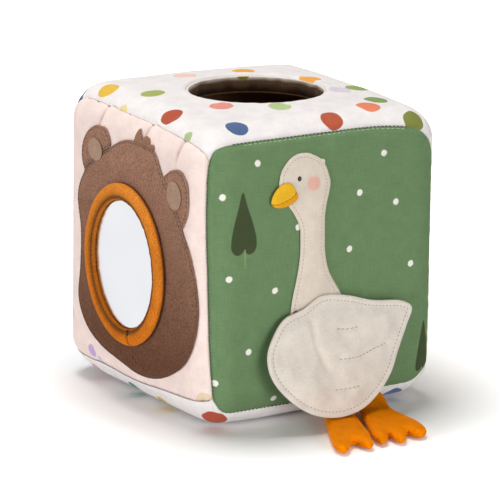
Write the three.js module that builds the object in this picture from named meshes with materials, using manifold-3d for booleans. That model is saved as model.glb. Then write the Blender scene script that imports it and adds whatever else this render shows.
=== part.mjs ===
// Tissue box toy: a padded fabric cube with a goose on its front panel, a bear with a play
// mirror on its left panel, an oval hand hole in its top and folded play cloths inside.
// Millimetres, +Z up. The origin is the middle of the flat base. The goose faces -Y, the bear -X.

import * as THREE from 'three';
import { mergeVertices } from 'three/addons/utils/BufferGeometryUtils.js';
import Module from 'manifold-3d';

const wasm = await Module();
wasm.setup();

// Driving dimensions of the cube
const seamHalf = 65; // middle of the cube to an upright seam
const seamToSeam = 138; // bottom seam to top seam
const edgeRadius = 18; // roundness of the padded edges
const baseSwell = 3.7; // how far the base panel swells down to the ground
const basePress = 0.5; // how deep the ground presses the base flat
const topCrown = 5;
const sideCrown = 1.5;

// Driving dimensions of the padded wall, from the outside in
const coverThickness = 1.2;
const foamThickness = 7.2;
const liningThickness = 0.9;
const layerGap = 0.3; // clearance between soft layers
const seamGap = 0.22; // each panel's edge stands back this much from the seam

// Driving dimensions of the hand hole
const holeHalfWidth = 35;
const holeHalfDepth = 32;
const holeOffset = 2; // the hole sits a little toward +X
const facingThickness = 0.8;

// Driving dimensions of the bear: across counts from the middle of its panel toward the goose
const bearThickness = 1.2;
const bearAcross = 7;
const bearHeight = 76;
const innerEarThickness = 0.5;
const mirrorAcross = 1.6;
const mirrorHeight = 73.4;
const mirrorThickness = 0.4;
const mirrorBackingThickness = 0.7;
const ringHalfAcross = 33; // middle of the mirror to the middle of the stuffed band
const ringHalfUp = 36.8;
const ringBandHalf = 4.3; // half the band's width
const ringRise = 2.1; // half its height over the head

// Driving dimensions of the goose
const gooseThickness = 1.2;
const beakThickness = 1.2;
const eyeRadius = 1.2;
const eyeThickness = 0.5;

// Driving dimensions of the wing flap, which hangs from its sewn top edge
const wingTopHeight = 66; // sewn edge above the ground
const wingLength = 61.5; // along the cloth
const wingLeanTop = THREE.MathUtils.degToRad(5);
const wingLeanBottom = THREE.MathUtils.degToRad(25);
const wingClothThickness = 0.8;
const wingLoft = 1.5; // half the filling's thickness

// Driving dimensions of the feet
const footThickness = 5.8;
const footClothThickness = 0.8;
const footGroundGap = 0.2;
const footDrop = 18; // length over which a foot comes down from the seam
const ankleBelowSeam = 1.3;

// Driving dimensions of the play cloths
const clothWidth = 40;
const clothDepth = 44;
const clothPly = 1; // one fold, pressed
const clothPlyGap = 0.6;
const clothFolds = 4;
const clothCount = 3;

// Facets
const headSteps = 40;
const earSteps = 24;
const innerEarSteps = 16;
const ringTurns = 32;
const ringSides = 10;
const beakSteps = 18;
const eyeSteps = 10;
const wingSteps = 32;
const footSteps = 46;
const foldSteps = 5;

// Sizes that follow
const seamRise = edgeRadius * (1 - Math.SQRT1_2);
const halfWidth = seamHalf + seamRise;
const halfHeight = seamToSeam / 2 + seamRise;
const midHeight = baseSwell + halfHeight;
const bottomSeamHeight = baseSwell + seamRise;
const foamDepth = coverThickness + layerGap;
const liningDepth = foamDepth + foamThickness + layerGap;
const wallDepth = liningDepth + liningThickness;

// The six panels. Across and up lie in the panel, and outward is their cross product.
function panel(across, up, halfAcross, halfUp, crown, crownPower = 2) {
  const a = new THREE.Vector3(...across);
  const b = new THREE.Vector3(...up);
  return { across: a, up: b, outward: a.clone().cross(b), halfAcross, halfUp, crown, crownPower };
}
const front = panel([1, 0, 0], [0, 0, 1], halfWidth, halfHeight, sideCrown);
const left = panel([0, -1, 0], [0, 0, 1], halfWidth, halfHeight, sideCrown);
const right = panel([0, 1, 0], [0, 0, 1], halfWidth, halfHeight, sideCrown);
const back = panel([-1, 0, 0], [0, 0, 1], halfWidth, halfHeight, sideCrown);
const top = panel([1, 0, 0], [0, 1, 0], halfWidth, halfWidth, topCrown);
const base = panel([1, 0, 0], [0, -1, 0], halfWidth, halfWidth, baseSwell + basePress, 4);

// A point of a panel, out millimetres outside its cover. The flat runs into rounded edges, the
// middle swells by the crown, and the base is pressed flat on the ground.
function panelPoint(side, across, up, out, crown = side.crown) {
  const half = new THREE.Vector3(halfWidth, halfWidth, halfHeight);
  const point = side.outward.clone().multiply(half);
  point.addScaledVector(side.across, across).addScaledVector(side.up, up);
  const coreLimit = half.clone().subScalar(edgeRadius);
  const core = point.clone().clamp(coreLimit.clone().negate(), coreLimit);
  const outward = point.sub(core).normalize();
  const u = Math.abs(across / side.halfAcross) ** side.crownPower;
  const v = Math.abs(up / side.halfUp) ** side.crownPower;
  const result = core.addScaledVector(outward, edgeRadius + out);
  result.addScaledVector(side.outward, crown * (1 - u) * (1 - v));
  result.z += midHeight;
  if (side === base) result.z = Math.max(result.z, -out);
  return result;
}

// The same for a piece sewn on a side panel, with its height measured from the ground
function sewnPoint(side, across, height, out) {
  return panelPoint(side, across, height - midHeight, out);
}

// A patch is a flat triangle mesh: points as [across, up] and triangles that turn leftward.
function gridPatch(columns, rows) {
  const points = rows.flatMap((b) => columns.map((a) => [a, b]));
  const triangles = [];
  for (let j = 0; j + 1 < rows.length; j += 1) {
    for (let i = 0; i + 1 < columns.length; i += 1) {
      const corner = j * columns.length + i;
      const above = corner + columns.length;
      triangles.push([corner, corner + 1, above + 1], [corner, above + 1, above]);
    }
  }
  return { points, triangles };
}

// Rings of points from an inner loop to an outer loop, both turning leftward
function ringPatch(innerLoop, outerLoop, shares) {
  const points = [];
  const triangles = [];
  const count = outerLoop.length;
  for (const share of shares) {
    outerLoop.forEach(([a, b], i) => {
      const [c, d] = innerLoop[i];
      points.push([c + (a - c) * share, d + (b - d) * share]);
    });
  }
  for (let ring = 0; ring + 1 < shares.length; ring += 1) {
    for (let i = 0; i < count; i += 1) {
      const next = (i + 1) % count;
      const inner = ring * count;
      const outer = inner + count;
      triangles.push([inner + i, outer + i, outer + next]);
      triangles.push([inner + i, outer + next, inner + next]);
    }
  }
  return { points, triangles };
}

// A full patch round a middle point. Shares give its rings, from the inmost outward.
function fanPatch(centre, outline, shares) {
  const patch = ringPatch(outline.map(() => centre), outline, shares);
  const middle = patch.points.length;
  patch.points.push(centre);
  outline.forEach((_, i) => patch.triangles.push([middle, i, (i + 1) % outline.length]));
  return patch;
}

// Edges that only one triangle uses, in that triangle's direction
function borderEdges(triangles) {
  const edges = new Map();
  for (const [a, b, c] of triangles) {
    for (const [from, to] of [[a, b], [b, c], [c, a]]) {
      if (!edges.delete(`${to}_${from}`)) edges.set(`${from}_${to}`, [from, to]);
    }
  }
  return [...edges.values()];
}

// A closed cloth or pad between two surfaces over one patch
function layer(patch, outerSurface, innerSurface) {
  const count = patch.points.length;
  const outer = patch.points.map((p, i) => outerSurface(p, i));
  const inner = patch.points.map((p, i) => innerSurface(p, i));
  const index = [];
  for (const [a, b, c] of patch.triangles) {
    index.push(a, b, c, count + a, count + c, count + b);
  }
  for (const [from, to] of borderEdges(patch.triangles)) {
    index.push(to, from, count + from, to, count + from, count + to);
  }
  const geometry = new THREE.BufferGeometry().setFromPoints([...outer, ...inner]);
  geometry.setIndex(index);
  return geometry;
}

// Boolean cut of one closed geometry by others
function toManifold(geometry) {
  const bare = new THREE.BufferGeometry();
  bare.setAttribute('position', geometry.getAttribute('position'));
  bare.setIndex(geometry.getIndex());
  const merged = mergeVertices(bare, 1e-4);
  return new wasm.Manifold(new wasm.Mesh({
    numProp: 3,
    vertProperties: new Float32Array(merged.getAttribute('position').array),
    triVerts: new Uint32Array(merged.getIndex().array),
  }));
}
function cut(geometry, ...tools) {
  let solid = toManifold(geometry);
  for (const tool of tools) solid = solid.subtract(toManifold(tool));
  const mesh = solid.getMesh();
  const result = new THREE.BufferGeometry();
  result.setAttribute('position', new THREE.BufferAttribute(mesh.vertProperties, 3));
  result.setIndex(new THREE.BufferAttribute(mesh.triVerts, 1));
  return result;
}

// Closed outline through a few chosen points, turning leftward
function smoothOutline(chosen, count) {
  const points = chosen.map(([a, b]) => new THREE.Vector3(a, b, 0));
  const curve = new THREE.CatmullRomCurve3(points, true);
  return Array.from({ length: count }, (_, i) => {
    const point = curve.getPoint(i / count);
    return [point.x, point.y];
  });
}

// Closed outline that stands off by margin from an oval, measured square to the oval
function ovalOutline([a, b], [halfAcross, halfUp], count, margin = 0) {
  return Array.from({ length: count }, (_, i) => {
    const angle = (2 * Math.PI * i) / count;
    const square = new THREE.Vector2(Math.cos(angle) / halfAcross, Math.sin(angle) / halfUp).normalize();
    return [
      a + halfAcross * Math.cos(angle) + margin * square.x,
      b + halfUp * Math.sin(angle) + margin * square.y,
    ];
  });
}
function grownOutline(outline, [a, b], margin) {
  return outline.map(([c, d]) => {
    const reach = Math.hypot(c - a, d - b);
    return [c + ((c - a) * margin) / reach, d + ((d - b) * margin) / reach];
  });
}
const mirrored = (shares) => [...shares.map((s) => -s).reverse(), ...shares];

const toy = new THREE.Group();
function part(name, geometry, colour, roughness = 0.95, metalness = 0) {
  geometry.computeVertexNormals();
  const material = new THREE.MeshStandardMaterial({ color: colour, roughness, metalness });
  const mesh = new THREE.Mesh(geometry, material);
  mesh.name = name;
  toy.add(mesh);
  return mesh;
}

// Cube walls. Each panel is a cover, a foam board and a lining, mitred at the seams. The grid
// lines are shares of the half width, closer together round the edges.
const edgeStart = 1 - edgeRadius / halfWidth;
const edgeMiddle = (1 + edgeStart) / 2;
const coverShares = [0, ...mirrored([0.4, edgeStart, edgeMiddle, 1])].sort((a, b) => a - b);
const baseShares = [0, ...mirrored([0.6, edgeStart, edgeMiddle, 1])].sort((a, b) => a - b);
const innerShares = mirrored([edgeStart, edgeMiddle, 1]);

function seamPoint(side, [across, up], out, crown) {
  const point = panelPoint(side, across, up, out, crown);
  const standBack = (value, limit) => (Math.abs(value) > limit - 1e-6 ? Math.sign(value) * seamGap : 0);
  point.addScaledVector(side.across, -standBack(across, side.halfAcross));
  point.addScaledVector(side.up, -standBack(up, side.halfUp));
  return point;
}
function wallLayer(side, patch, outerDepth, thickness, outerCrown, innerCrown) {
  return layer(
    patch,
    (p) => seamPoint(side, p, -outerDepth, outerCrown),
    (p) => seamPoint(side, p, -outerDepth - thickness, innerCrown),
  );
}
function squarePatch(side, shares) {
  return gridPatch(shares.map((s) => s * side.halfAcross), shares.map((s) => s * side.halfUp));
}

// The top's patch has the oval hole in its middle. Margin widens the hole for layers behind.
const coverRings = [0, 0.45, 0.62, 0.8, 1];
const innerRings = [0, 0.5, 0.8, 1];
function holedPatch(shares, margin, rings) {
  const last = shares.length - 1;
  const walk = shares.slice(0, last);
  const border = [
    ...walk.map((s) => [s, -1]),
    ...walk.map((s) => [1, s]),
    ...walk.map((s) => [-s, 1]),
    ...walk.map((s) => [-1, -s]),
  ];
  const hole = holeOutline(border.length, margin);
  return ringPatch(hole, border.map(([a, b]) => [a * top.halfAcross, b * top.halfUp]), rings);
}
function holeOutline(count, margin) {
  const firstCorner = -0.75 * Math.PI;
  return Array.from({ length: count }, (_, i) => {
    const angle = firstCorner + (2 * Math.PI * i) / count;
    return [
      holeOffset + (holeHalfWidth + margin) * Math.cos(angle),
      (holeHalfDepth + margin) * Math.sin(angle),
    ];
  });
}

const white = 0xf3eee6;
const foamColour = 0xf1ead2;
const liningColour = 0xd9c7ae;
const walls = [
  ['goose_panel', front, 0x6a9062],
  ['bear_panel', left, 0xf0ddd6],
  ['right_panel', right, 0xefe6d6],
  ['back_panel', back, 0x8fa9bd],
];
for (const [name, side, colour] of walls) {
  const fine = squarePatch(side, coverShares);
  const coarse = squarePatch(side, innerShares);
  part(`${name}_cover`, wallLayer(side, fine, 0, coverThickness, side.crown, side.crown), colour);
  part(`${name}_foam`, wallLayer(side, coarse, foamDepth, foamThickness, side.crown, 0), foamColour);
  part(`${name}_lining`, wallLayer(side, coarse, liningDepth, liningThickness, 0, 0), liningColour);
}
const basePatch = squarePatch(base, baseShares);
const baseInner = squarePatch(base, innerShares);
part('bottom_cover', wallLayer(base, basePatch, 0, coverThickness, base.crown, base.crown), white);
part('bottom_foam', wallLayer(base, baseInner, foamDepth, foamThickness, 0, 0), foamColour);
part('floor_lining', wallLayer(base, baseInner, liningDepth, liningThickness, 0, 0), liningColour);

// Top wall and the facing that lines its hole
const foamHoleMargin = facingThickness + layerGap;
const topCoverPatch = holedPatch(coverShares, 0, coverRings);
part('top_cover', wallLayer(top, topCoverPatch, 0, coverThickness, topCrown, topCrown), white);
const topFoamPatch = holedPatch(coverShares, foamHoleMargin, innerRings);
part('top_foam', wallLayer(top, topFoamPatch, foamDepth, foamThickness, topCrown, topCrown), foamColour);
const topLiningPatch = holedPatch(coverShares, 0, innerRings);
const topLining = wallLayer(top, topLiningPatch, liningDepth, liningThickness, topCrown, topCrown);
part('top_lining', topLining, liningColour);
const facingSteps = 4 * (coverShares.length - 1);
const facingPatch = ringPatch(
  holeOutline(facingSteps, 0),
  holeOutline(facingSteps, facingThickness),
  [0, 1],
);
part('hole_facing', layer(
  facingPatch,
  ([a, b]) => panelPoint(top, a, b, -coverThickness - layerGap),
  ([a, b]) => panelPoint(top, a, b, -liningDepth + layerGap),
), 0xe9dfcd);

// Bear: head, ears, inner ears and tuft are sewn flat on the left panel, one over the next
const headOutline = smoothOutline([
  [-17.8, 129], [-31, 121], [-43, 111.6], [-50.2, 98], [-46.8, 80], [-47.2, 62], [-49.1, 43],
  [-41, 31], [-26.8, 24], [-7, 20.3], [12, 18], [30, 21], [43, 27], [53, 34.5], [59.6, 45.5],
  [63.4, 60], [62.8, 74.5], [58, 93], [50, 106], [41, 117], [31.7, 126], [24, 135.4], [14, 136.6],
  [2, 136.6], [-8, 134.2],
], headSteps);
function sewnLayer(side, patch, lift, thickness) {
  return layer(
    patch,
    ([a, z]) => sewnPoint(side, a, z, lift + thickness),
    ([a, z]) => sewnPoint(side, a, z, lift),
  );
}
const appliqueLift = layerGap;
const overBear = appliqueLift + bearThickness + layerGap;
const headCentre = [bearAcross, bearHeight];
const headRings = [0.4, 0.72, 0.86, 0.93, 1];
const headPatch = fanPatch(headCentre, headOutline, headRings);
const headClearance = grownOutline(headOutline, headCentre, layerGap);
const headToolPatch = fanPatch(headCentre, headClearance, headRings);
const headTool = sewnLayer(left, headToolPatch, -layerGap, bearThickness + 4 * layerGap);
part('bear_head', sewnLayer(left, headPatch, appliqueLift, bearThickness), 0x8e6b5a);
const ears = [
  {
    name: 'near',
    centre: [46, 118.7],
    outline: [
      [51.9, 103], [55.6, 107.7], [57.6, 113.5], [57.6, 120], [55.8, 127.6], [50, 131.7],
      [44, 131.3], [38, 128.7], [33, 124], [34, 114], [43, 104],
    ],
    inner: [7.2, 7.1], // half sizes of the inner ear
  },
  {
    name: 'far',
    centre: [-31.6, 124.6],
    outline: [
      [-18.2, 128], [-19.6, 133.3], [-23.6, 136.7], [-30, 137.1], [-37.2, 134.8], [-42.6, 130.5],
      [-46, 124.6], [-46.6, 118], [-43, 111], [-33, 109], [-22, 116],
    ],
    inner: [7, 5.7],
  },
];
for (const { name, centre, outline, inner } of ears) {
  const ear = fanPatch(centre, smoothOutline(outline, earSteps), [0.5, 1]);
  part(`bear_ear_${name}`, cut(sewnLayer(left, ear, appliqueLift, bearThickness), headTool), 0x8e6b5a);
  const innerPatch = fanPatch(centre, ovalOutline(centre, inner, innerEarSteps), [1]);
  part(`bear_inner_ear_${name}`, sewnLayer(left, innerPatch, overBear, innerEarThickness), 0xa98a76);
}
const tuftCentre = [13, 136];
const tuftOutline = [
  [22.5, 132], [22.8, 138], [20.8, 138.6], [18.9, 138.3], [18, 140.6], [15.6, 141.9], [13, 141.2],
  [11.6, 138.6], [9.2, 141.2], [6.3, 144.3], [4.6, 140.5], [4, 136], [4, 132],
];
const tuftPatch = fanPatch(tuftCentre, tuftOutline, [0.5, 1]);
const tuft = sewnLayer(left, tuftPatch, appliqueLift, bearThickness);
part('bear_hair_tuft', cut(tuft, headTool), 0x7f5d4c);

// Play mirror: backing pad, mirror film and the stuffed ring that lies on the head round them.
// The band is flatter than a tube, and the film reaches in under its swell.
const mirrorCentre = [mirrorAcross, mirrorHeight];
const ringHalves = [ringHalfAcross, ringHalfUp];
const filmLift = overBear + mirrorBackingThickness + layerGap;
const ringLift = overBear + ringRise;
const filmBelowRing = (ringLift - filmLift - mirrorThickness) / (ringRise + layerGap);
const filmInset = (ringBandHalf + layerGap) * Math.sqrt(1 - filmBelowRing ** 2);
const filmOutline = ovalOutline(mirrorCentre, ringHalves, ringTurns, -filmInset);
const discPatch = fanPatch(mirrorCentre, filmOutline, [1]);
part('mirror_backing', sewnLayer(left, discPatch, overBear, mirrorBackingThickness), 0xb7b0a6);
part('mirror_film', sewnLayer(left, discPatch, filmLift, mirrorThickness), 0xe9ecee, 0.08, 0.9);
function stuffedRing() {
  const points = [];
  const index = [];
  const lines = Array.from({ length: ringSides }, (_, j) => {
    const margin = ringBandHalf * Math.cos((2 * Math.PI * j) / ringSides);
    return ovalOutline(mirrorCentre, ringHalves, ringTurns, margin);
  });
  for (let i = 0; i < ringTurns; i += 1) {
    for (let j = 0; j < ringSides; j += 1) {
      const roll = (2 * Math.PI * j) / ringSides;
      const [across, height] = lines[j][i];
      points.push(sewnPoint(left, across, height, ringLift + ringRise * Math.sin(roll)));
      const here = i * ringSides;
      const next = ((i + 1) % ringTurns) * ringSides;
      const beside = (j + 1) % ringSides;
      index.push(here + j, next + j, next + beside, here + j, next + beside, here + beside);
    }
  }
  const geometry = new THREE.BufferGeometry().setFromPoints(points);
  geometry.setIndex(index);
  return geometry;
}
part('mirror_ring', stuffedRing(), 0xcc741e);

// Goose: head and neck in one cloth, with the beak and the eye sewn over it
const neckRungs = [
  [55, -20.8, 10.5], [61, -20.6, 8.6], [67, -19.6, 5.4], [77, -17.4, -0.4], [87, -15.9, -2.8],
  [97, -15.8, -3.2], [102, -16.1, -3.2], [106, -17.7, -3.2], [110, -20, -2.7], [114, -23, -1.9],
  [119, -27, -0.6], [123, -28.2, -0.1], [127, -28, -1.1], [131, -26.9, -2.6], [134.5, -24.4, -5.2],
  [136.7, -21.8, -8.8], [138.2, -18.2, -12.6],
];
const neckPatch = gridPatch([0, 0.5, 1], neckRungs.map(([height]) => height));
neckPatch.points = neckPatch.points.map(([share, height]) => {
  const [, from, to] = neckRungs.find((rung) => rung[0] === height);
  return [from + (to - from) * share, height];
});
part('goose_head_and_neck', sewnLayer(front, neckPatch, appliqueLift, gooseThickness), 0xddd2c6);
const overGoose = appliqueLift + gooseThickness + layerGap;
const beakCentre = [-26.5, 119.3];
const beakOutline = smoothOutline([
  [-34.1, 116.6], [-32.3, 114.3], [-28, 113.4], [-22.5, 114.6], [-18.9, 117.6], [-20.2, 121.6],
  [-23.4, 125.6], [-28.2, 125], [-32.3, 121.4],
], beakSteps);
const beakPatch = fanPatch(beakCentre, beakOutline, [1]);
part('goose_beak', sewnLayer(front, beakPatch, overGoose, beakThickness), 0xe3b433);
const eyeCentre = [-17.8, 126.9];
const eyePatch = fanPatch(eyeCentre, ovalOutline(eyeCentre, [eyeRadius, eyeRadius], eyeSteps), [1]);
part('goose_eye', sewnLayer(front, eyePatch, overGoose, eyeThickness), 0x1c1814);

// Wing flap: front cloth, filling and back cloth. Its cloth hangs in an arc that leans out from
// the sewn edge, and down is measured along it.
const wingBend = wingLength / (wingLeanBottom - wingLeanTop);
const wingEdgeHalf = wingClothThickness + layerGap / 2;
const wingAxisY = panelPoint(front, 0, wingTopHeight - midHeight, overGoose).y - wingEdgeHalf;
function wingPoint(across, down, off) {
  const lean = wingLeanTop + down / wingBend;
  return new THREE.Vector3(
    across,
    wingAxisY - wingBend * (Math.cos(wingLeanTop) - Math.cos(lean)) - off * Math.cos(lean),
    wingTopHeight - wingBend * (Math.sin(lean) - Math.sin(wingLeanTop)) + off * Math.sin(lean),
  );
}
const wingCentre = [2, 30];
const wingOutline = smoothOutline([
  [-5, 0.2], [-16, 5.6], [-27, 9], [-33.5, 16], [-38.5, 26], [-38, 36], [-32, 46.5], [-19, 57.5],
  [-4, 61.5], [10, 59.5], [22, 52.5], [31, 43.5], [37, 33], [43.5, 21.5], [47.4, 13],
  [43, 9.4], [24, 6.2], [10, 2],
], wingSteps);
const padRings = [0.5, 0.88, 1];
const wingPatch = fanPatch(wingCentre, wingOutline, padRings);
const wingFillingPatch = fanPatch(wingCentre, wingOutline, padRings.slice(0, -1));

// Half the hollow of a sewn pad at a point of its patch: full in the middle, shut at the seam
function padHollow(index, outline, loft) {
  const ring = Math.floor(index / outline.length);
  const share = padRings[ring] ?? 0;
  return layerGap / 2 + loft * (1 - share ** 3);
}
const wingHollow = (index) => padHollow(index, wingOutline, wingLoft);
function wingFillingHollow(index) {
  const middle = wingFillingPatch.points.length - 1;
  return index === middle ? layerGap / 2 + wingLoft : wingHollow(index);
}
part('wing_front_cloth', layer(
  wingPatch,
  ([a, d], i) => wingPoint(a, d, wingHollow(i) + wingClothThickness),
  ([a, d], i) => wingPoint(a, d, wingHollow(i)),
), 0xe2d8cb);
part('wing_filling', layer(
  wingFillingPatch,
  ([a, d], i) => wingPoint(a, d, wingFillingHollow(i) - layerGap),
  ([a, d], i) => wingPoint(a, d, layerGap - wingFillingHollow(i)),
), 0xf4f2ee);
part('wing_back_cloth', layer(
  wingPatch,
  ([a, d], i) => wingPoint(a, d, -wingHollow(i)),
  ([a, d], i) => wingPoint(a, d, -wingHollow(i) - wingClothThickness),
), 0xd9cebf);

// Feet: an upper, a filling and a sole each. A foot leaves the bottom seam, comes down to the
// ground and points a little toward -X. Sideways and along are measured on the foot.
const footAxisGap = 0.6; // ankle's axis in front of the seam
const ankleY = -seamHalf - footAxisGap;
const ankleHeight = bottomSeamHeight - ankleBelowSeam;
const footLoft = footThickness / 2 - footClothThickness - layerGap / 2;
const footRestHeight = footGroundGap + footThickness / 2;
const feet = [
  {
    name: 'left',
    x: 9,
    turn: 20,
    middle: [0, 32],
    outline: [
      [-7.5, 0], [-7.5, 12], [-9.8, 28], [-11.6, 42], [-13.1, 56], [-12.9, 65], [-9.8, 68.8],
      [-6.6, 65], [-4.8, 60], [-2.2, 56.5], [0.8, 60.5], [4, 63.8], [6.6, 60.5], [6.5, 54],
      [8, 47.5], [7.6, 38], [7.9, 24], [7.5, 12], [7.5, 0],
    ],
  },
  {
    name: 'right',
    x: 26.5,
    turn: 10,
    middle: [-1, 30],
    outline: [
      [-7.5, 0], [-7.5, 13], [-11, 28], [-14.6, 41], [-16.9, 51], [-17.6, 58], [-15.9, 62],
      [-12.8, 60.2], [-10.6, 56.5], [-8.8, 53], [-8, 59], [-6, 62.8], [-3, 61.4], [-1, 57],
      [1.6, 52], [3.2, 55.5], [6.5, 57.6], [10, 56], [12, 51], [12.2, 41], [10, 29.5], [8.6, 18],
      [8, 0],
    ],
  },
];
function footOutline({ outline }) {
  return smoothOutline(outline, footSteps).map(([side, along]) => [side, Math.max(along, 0)]);
}
function footPoint({ x, turn }, sideways, along, off) {
  const angle = THREE.MathUtils.degToRad(turn);
  const down = Math.min(along / footDrop, 1);
  const rise = (ankleHeight - footRestHeight) * (1 - down) ** 2 * (1 + 2 * down);
  return new THREE.Vector3(
    x + sideways * Math.cos(angle) - along * Math.sin(angle),
    ankleY - along * Math.cos(angle) - sideways * Math.sin(angle) * down,
    footRestHeight + rise + off,
  );
}
for (const foot of feet) {
  const outline = footOutline(foot);
  const patch = fanPatch(foot.middle, outline, padRings);
  const fillingPatch = fanPatch(foot.middle, outline, padRings.slice(0, -1));
  const centre = fillingPatch.points.length - 1;
  const hollow = (i) => padHollow(i, outline, footLoft);
  const fillingHollow = (i) => (i === centre ? layerGap / 2 + footLoft : hollow(i)) - layerGap;
  part(`foot_${foot.name}_upper`, layer(
    patch,
    ([s, l], i) => footPoint(foot, s, l, hollow(i) + footClothThickness),
    ([s, l], i) => footPoint(foot, s, l, hollow(i)),
  ), 0xff8a00);
  part(`foot_${foot.name}_filling`, layer(
    fillingPatch,
    ([s, l], i) => footPoint(foot, s, l, fillingHollow(i)),
    ([s, l], i) => footPoint(foot, s, l, -fillingHollow(i)),
  ), 0xf4f2ee);
  part(`foot_${foot.name}_sole`, layer(
    patch,
    ([s, l], i) => footPoint(foot, s, l, -hollow(i)),
    ([s, l], i) => footPoint(foot, s, l, -hollow(i) - footClothThickness),
  ), 0xf07d00);
}

// Play cloths: each is folded back and forth into a flat packet, and the packets lie in a stack
// under the hand hole. Each fold bends round half a turn.
function foldedCloth() {
  const pitch = clothPly + clothPlyGap;
  const run = clothWidth / 2 - pitch / 2 - clothPly / 2;
  const leftSide = [];
  const rightSide = [];
  const lay = (x, z, normalX, normalZ) => {
    leftSide.push(new THREE.Vector2(x + (normalX * clothPly) / 2, z + (normalZ * clothPly) / 2));
    rightSide.push(new THREE.Vector2(x - (normalX * clothPly) / 2, z - (normalZ * clothPly) / 2));
  };
  for (let fold = 0; fold < clothFolds; fold += 1) {
    const heading = fold % 2 === 0 ? 1 : -1;
    const height = clothPly / 2 + fold * pitch;
    lay(-heading * run, height, 0, heading);
    lay(heading * run, height, 0, heading);
    for (let step = 1; step < foldSteps && fold + 1 < clothFolds; step += 1) {
      const angle = -Math.PI / 2 + (Math.PI * step) / foldSteps;
      const across = heading * Math.cos(angle);
      const up = Math.sin(angle);
      const x = heading * run + (across * pitch) / 2;
      lay(x, height + (pitch / 2) * (1 + up), -heading * across, -heading * up);
    }
  }
  const outline = new THREE.Shape([...leftSide, ...rightSide.reverse()]);
  const geometry = new THREE.ExtrudeGeometry(outline, { depth: clothDepth, bevelEnabled: false });
  return geometry.rotateX(Math.PI / 2).translate(0, clothDepth / 2, 0);
}
const packetHeight = clothFolds * clothPly + (clothFolds - 1) * clothPlyGap;
const clothColours = [0xc98f5a, 0x8fae9a, 0xd9a7a0];
for (let i = 0; i < clothCount; i += 1) {
  const cloth = part(`play_cloth_${i + 1}`, foldedCloth(), clothColours[i % clothColours.length]);
  cloth.position.set(holeOffset, 0, baseSwell + wallDepth + layerGap + i * (packetHeight + layerGap));
}

export default toy;
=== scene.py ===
"""A padded fabric tissue box toy for a baby, dressed in its cotton, plush and thread."""
import math

import bpy
import numpy as np
from mathutils import Matrix, Vector, geometry, noise


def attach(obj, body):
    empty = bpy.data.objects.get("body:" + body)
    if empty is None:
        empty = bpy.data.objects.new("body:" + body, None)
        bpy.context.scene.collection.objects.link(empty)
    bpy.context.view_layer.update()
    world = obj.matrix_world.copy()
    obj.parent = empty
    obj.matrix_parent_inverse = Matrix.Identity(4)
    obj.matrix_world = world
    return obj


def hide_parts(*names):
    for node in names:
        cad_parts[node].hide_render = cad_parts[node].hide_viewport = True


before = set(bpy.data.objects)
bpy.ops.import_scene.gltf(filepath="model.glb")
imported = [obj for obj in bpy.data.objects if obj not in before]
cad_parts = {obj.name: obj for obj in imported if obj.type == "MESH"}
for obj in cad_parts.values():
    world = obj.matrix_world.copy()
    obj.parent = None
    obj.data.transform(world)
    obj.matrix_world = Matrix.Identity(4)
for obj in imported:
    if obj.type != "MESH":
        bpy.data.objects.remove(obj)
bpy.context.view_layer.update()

# Studio: a seamless white sweep, lit from above and a little behind by one soft lamp, with two low
# ones for the upright sides and an even room light. The camera stands far back, as for a catalogue picture.
MM = 0.001
CAMERA_AZIMUTH = math.radians(-32.0)
CAMERA_ELEVATION = math.radians(15.4)
CAMERA_ROLL = math.radians(0.77)
CAMERA_DISTANCE = 2.7
CAMERA_TARGET = (0.0, 0.0, 0.0705)
CAMERA_SIDESTEP = -0.00035
LAMP_COLOUR = (1.0, 0.995, 0.99)
LAMPS = [
    ("key_lamp", (-0.05, 0.2, 1.2), 0.07, 0.6, 9.6),
    ("left_lamp", (-1.6, -0.45, 0.28), 0.09, 0.7, 12.6),
    ("front_lamp", (0.1, -1.65, 0.24), 0.09, 0.8, 13.6),
]
WHITE = (1.0, 1.0, 1.0)
ROOM_COLOUR = (1.0, 0.94, 0.88)
ROOM_LIGHT = 0.22
FLOOR_REACH = 3.0
FLOOR_LEVEL = -0.1 * MM
FLOOR_BOUNCE = (0.93, 0.94, 0.96)
GLOW_COLOUR = (0.97, 0.99, 1.0)
GLOW_SPAN = (0.09, 0.27, 0.0, 0.9)
scene = bpy.context.scene
scene.view_settings.view_transform = "Standard"


def add_object(name, data):
    thing = bpy.data.objects.new(name, data)
    scene.collection.objects.link(thing)
    return thing


camera_data = bpy.data.cameras.new("camera")
camera_data.sensor_width = 36.0
camera_data.lens = 384.8
scene.camera = add_object("camera", camera_data)
spin = Matrix.Rotation(CAMERA_AZIMUTH, 4, "Z") @ Matrix.Rotation(math.pi / 2 - CAMERA_ELEVATION, 4, "X")
spin = spin @ Matrix.Rotation(CAMERA_ROLL, 4, "Z")
step = Matrix.Translation((CAMERA_SIDESTEP, 0.0, CAMERA_DISTANCE))
scene.camera.matrix_world = Matrix.Translation(CAMERA_TARGET) @ spin @ step
for name, place, aim_height, size, power in LAMPS:
    lamp = bpy.data.lights.new(name, "AREA")
    lamp.shape = "DISK"
    lamp.size = size
    lamp.energy = power
    lamp.color = LAMP_COLOUR
    light = add_object(name, lamp)
    light.location = place
    light.rotation_euler = (Vector((0, 0, aim_height)) - Vector(place)).to_track_quat("-Z", "Y").to_euler()


def new_node(tree, kind, inputs=None, **settings):
    node = tree.nodes.new(kind)
    for key, value in settings.items():
        setattr(node, key, value)
    for key, value in (inputs or {}).items():
        if isinstance(value, bpy.types.NodeSocket):
            tree.links.new(value, node.inputs[key])
        else:
            node.inputs[key].default_value = value
    return node


def worked(tree, operation, *values):
    return new_node(tree, "ShaderNodeMath", dict(enumerate(values)), operation=operation).outputs[0]


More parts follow.
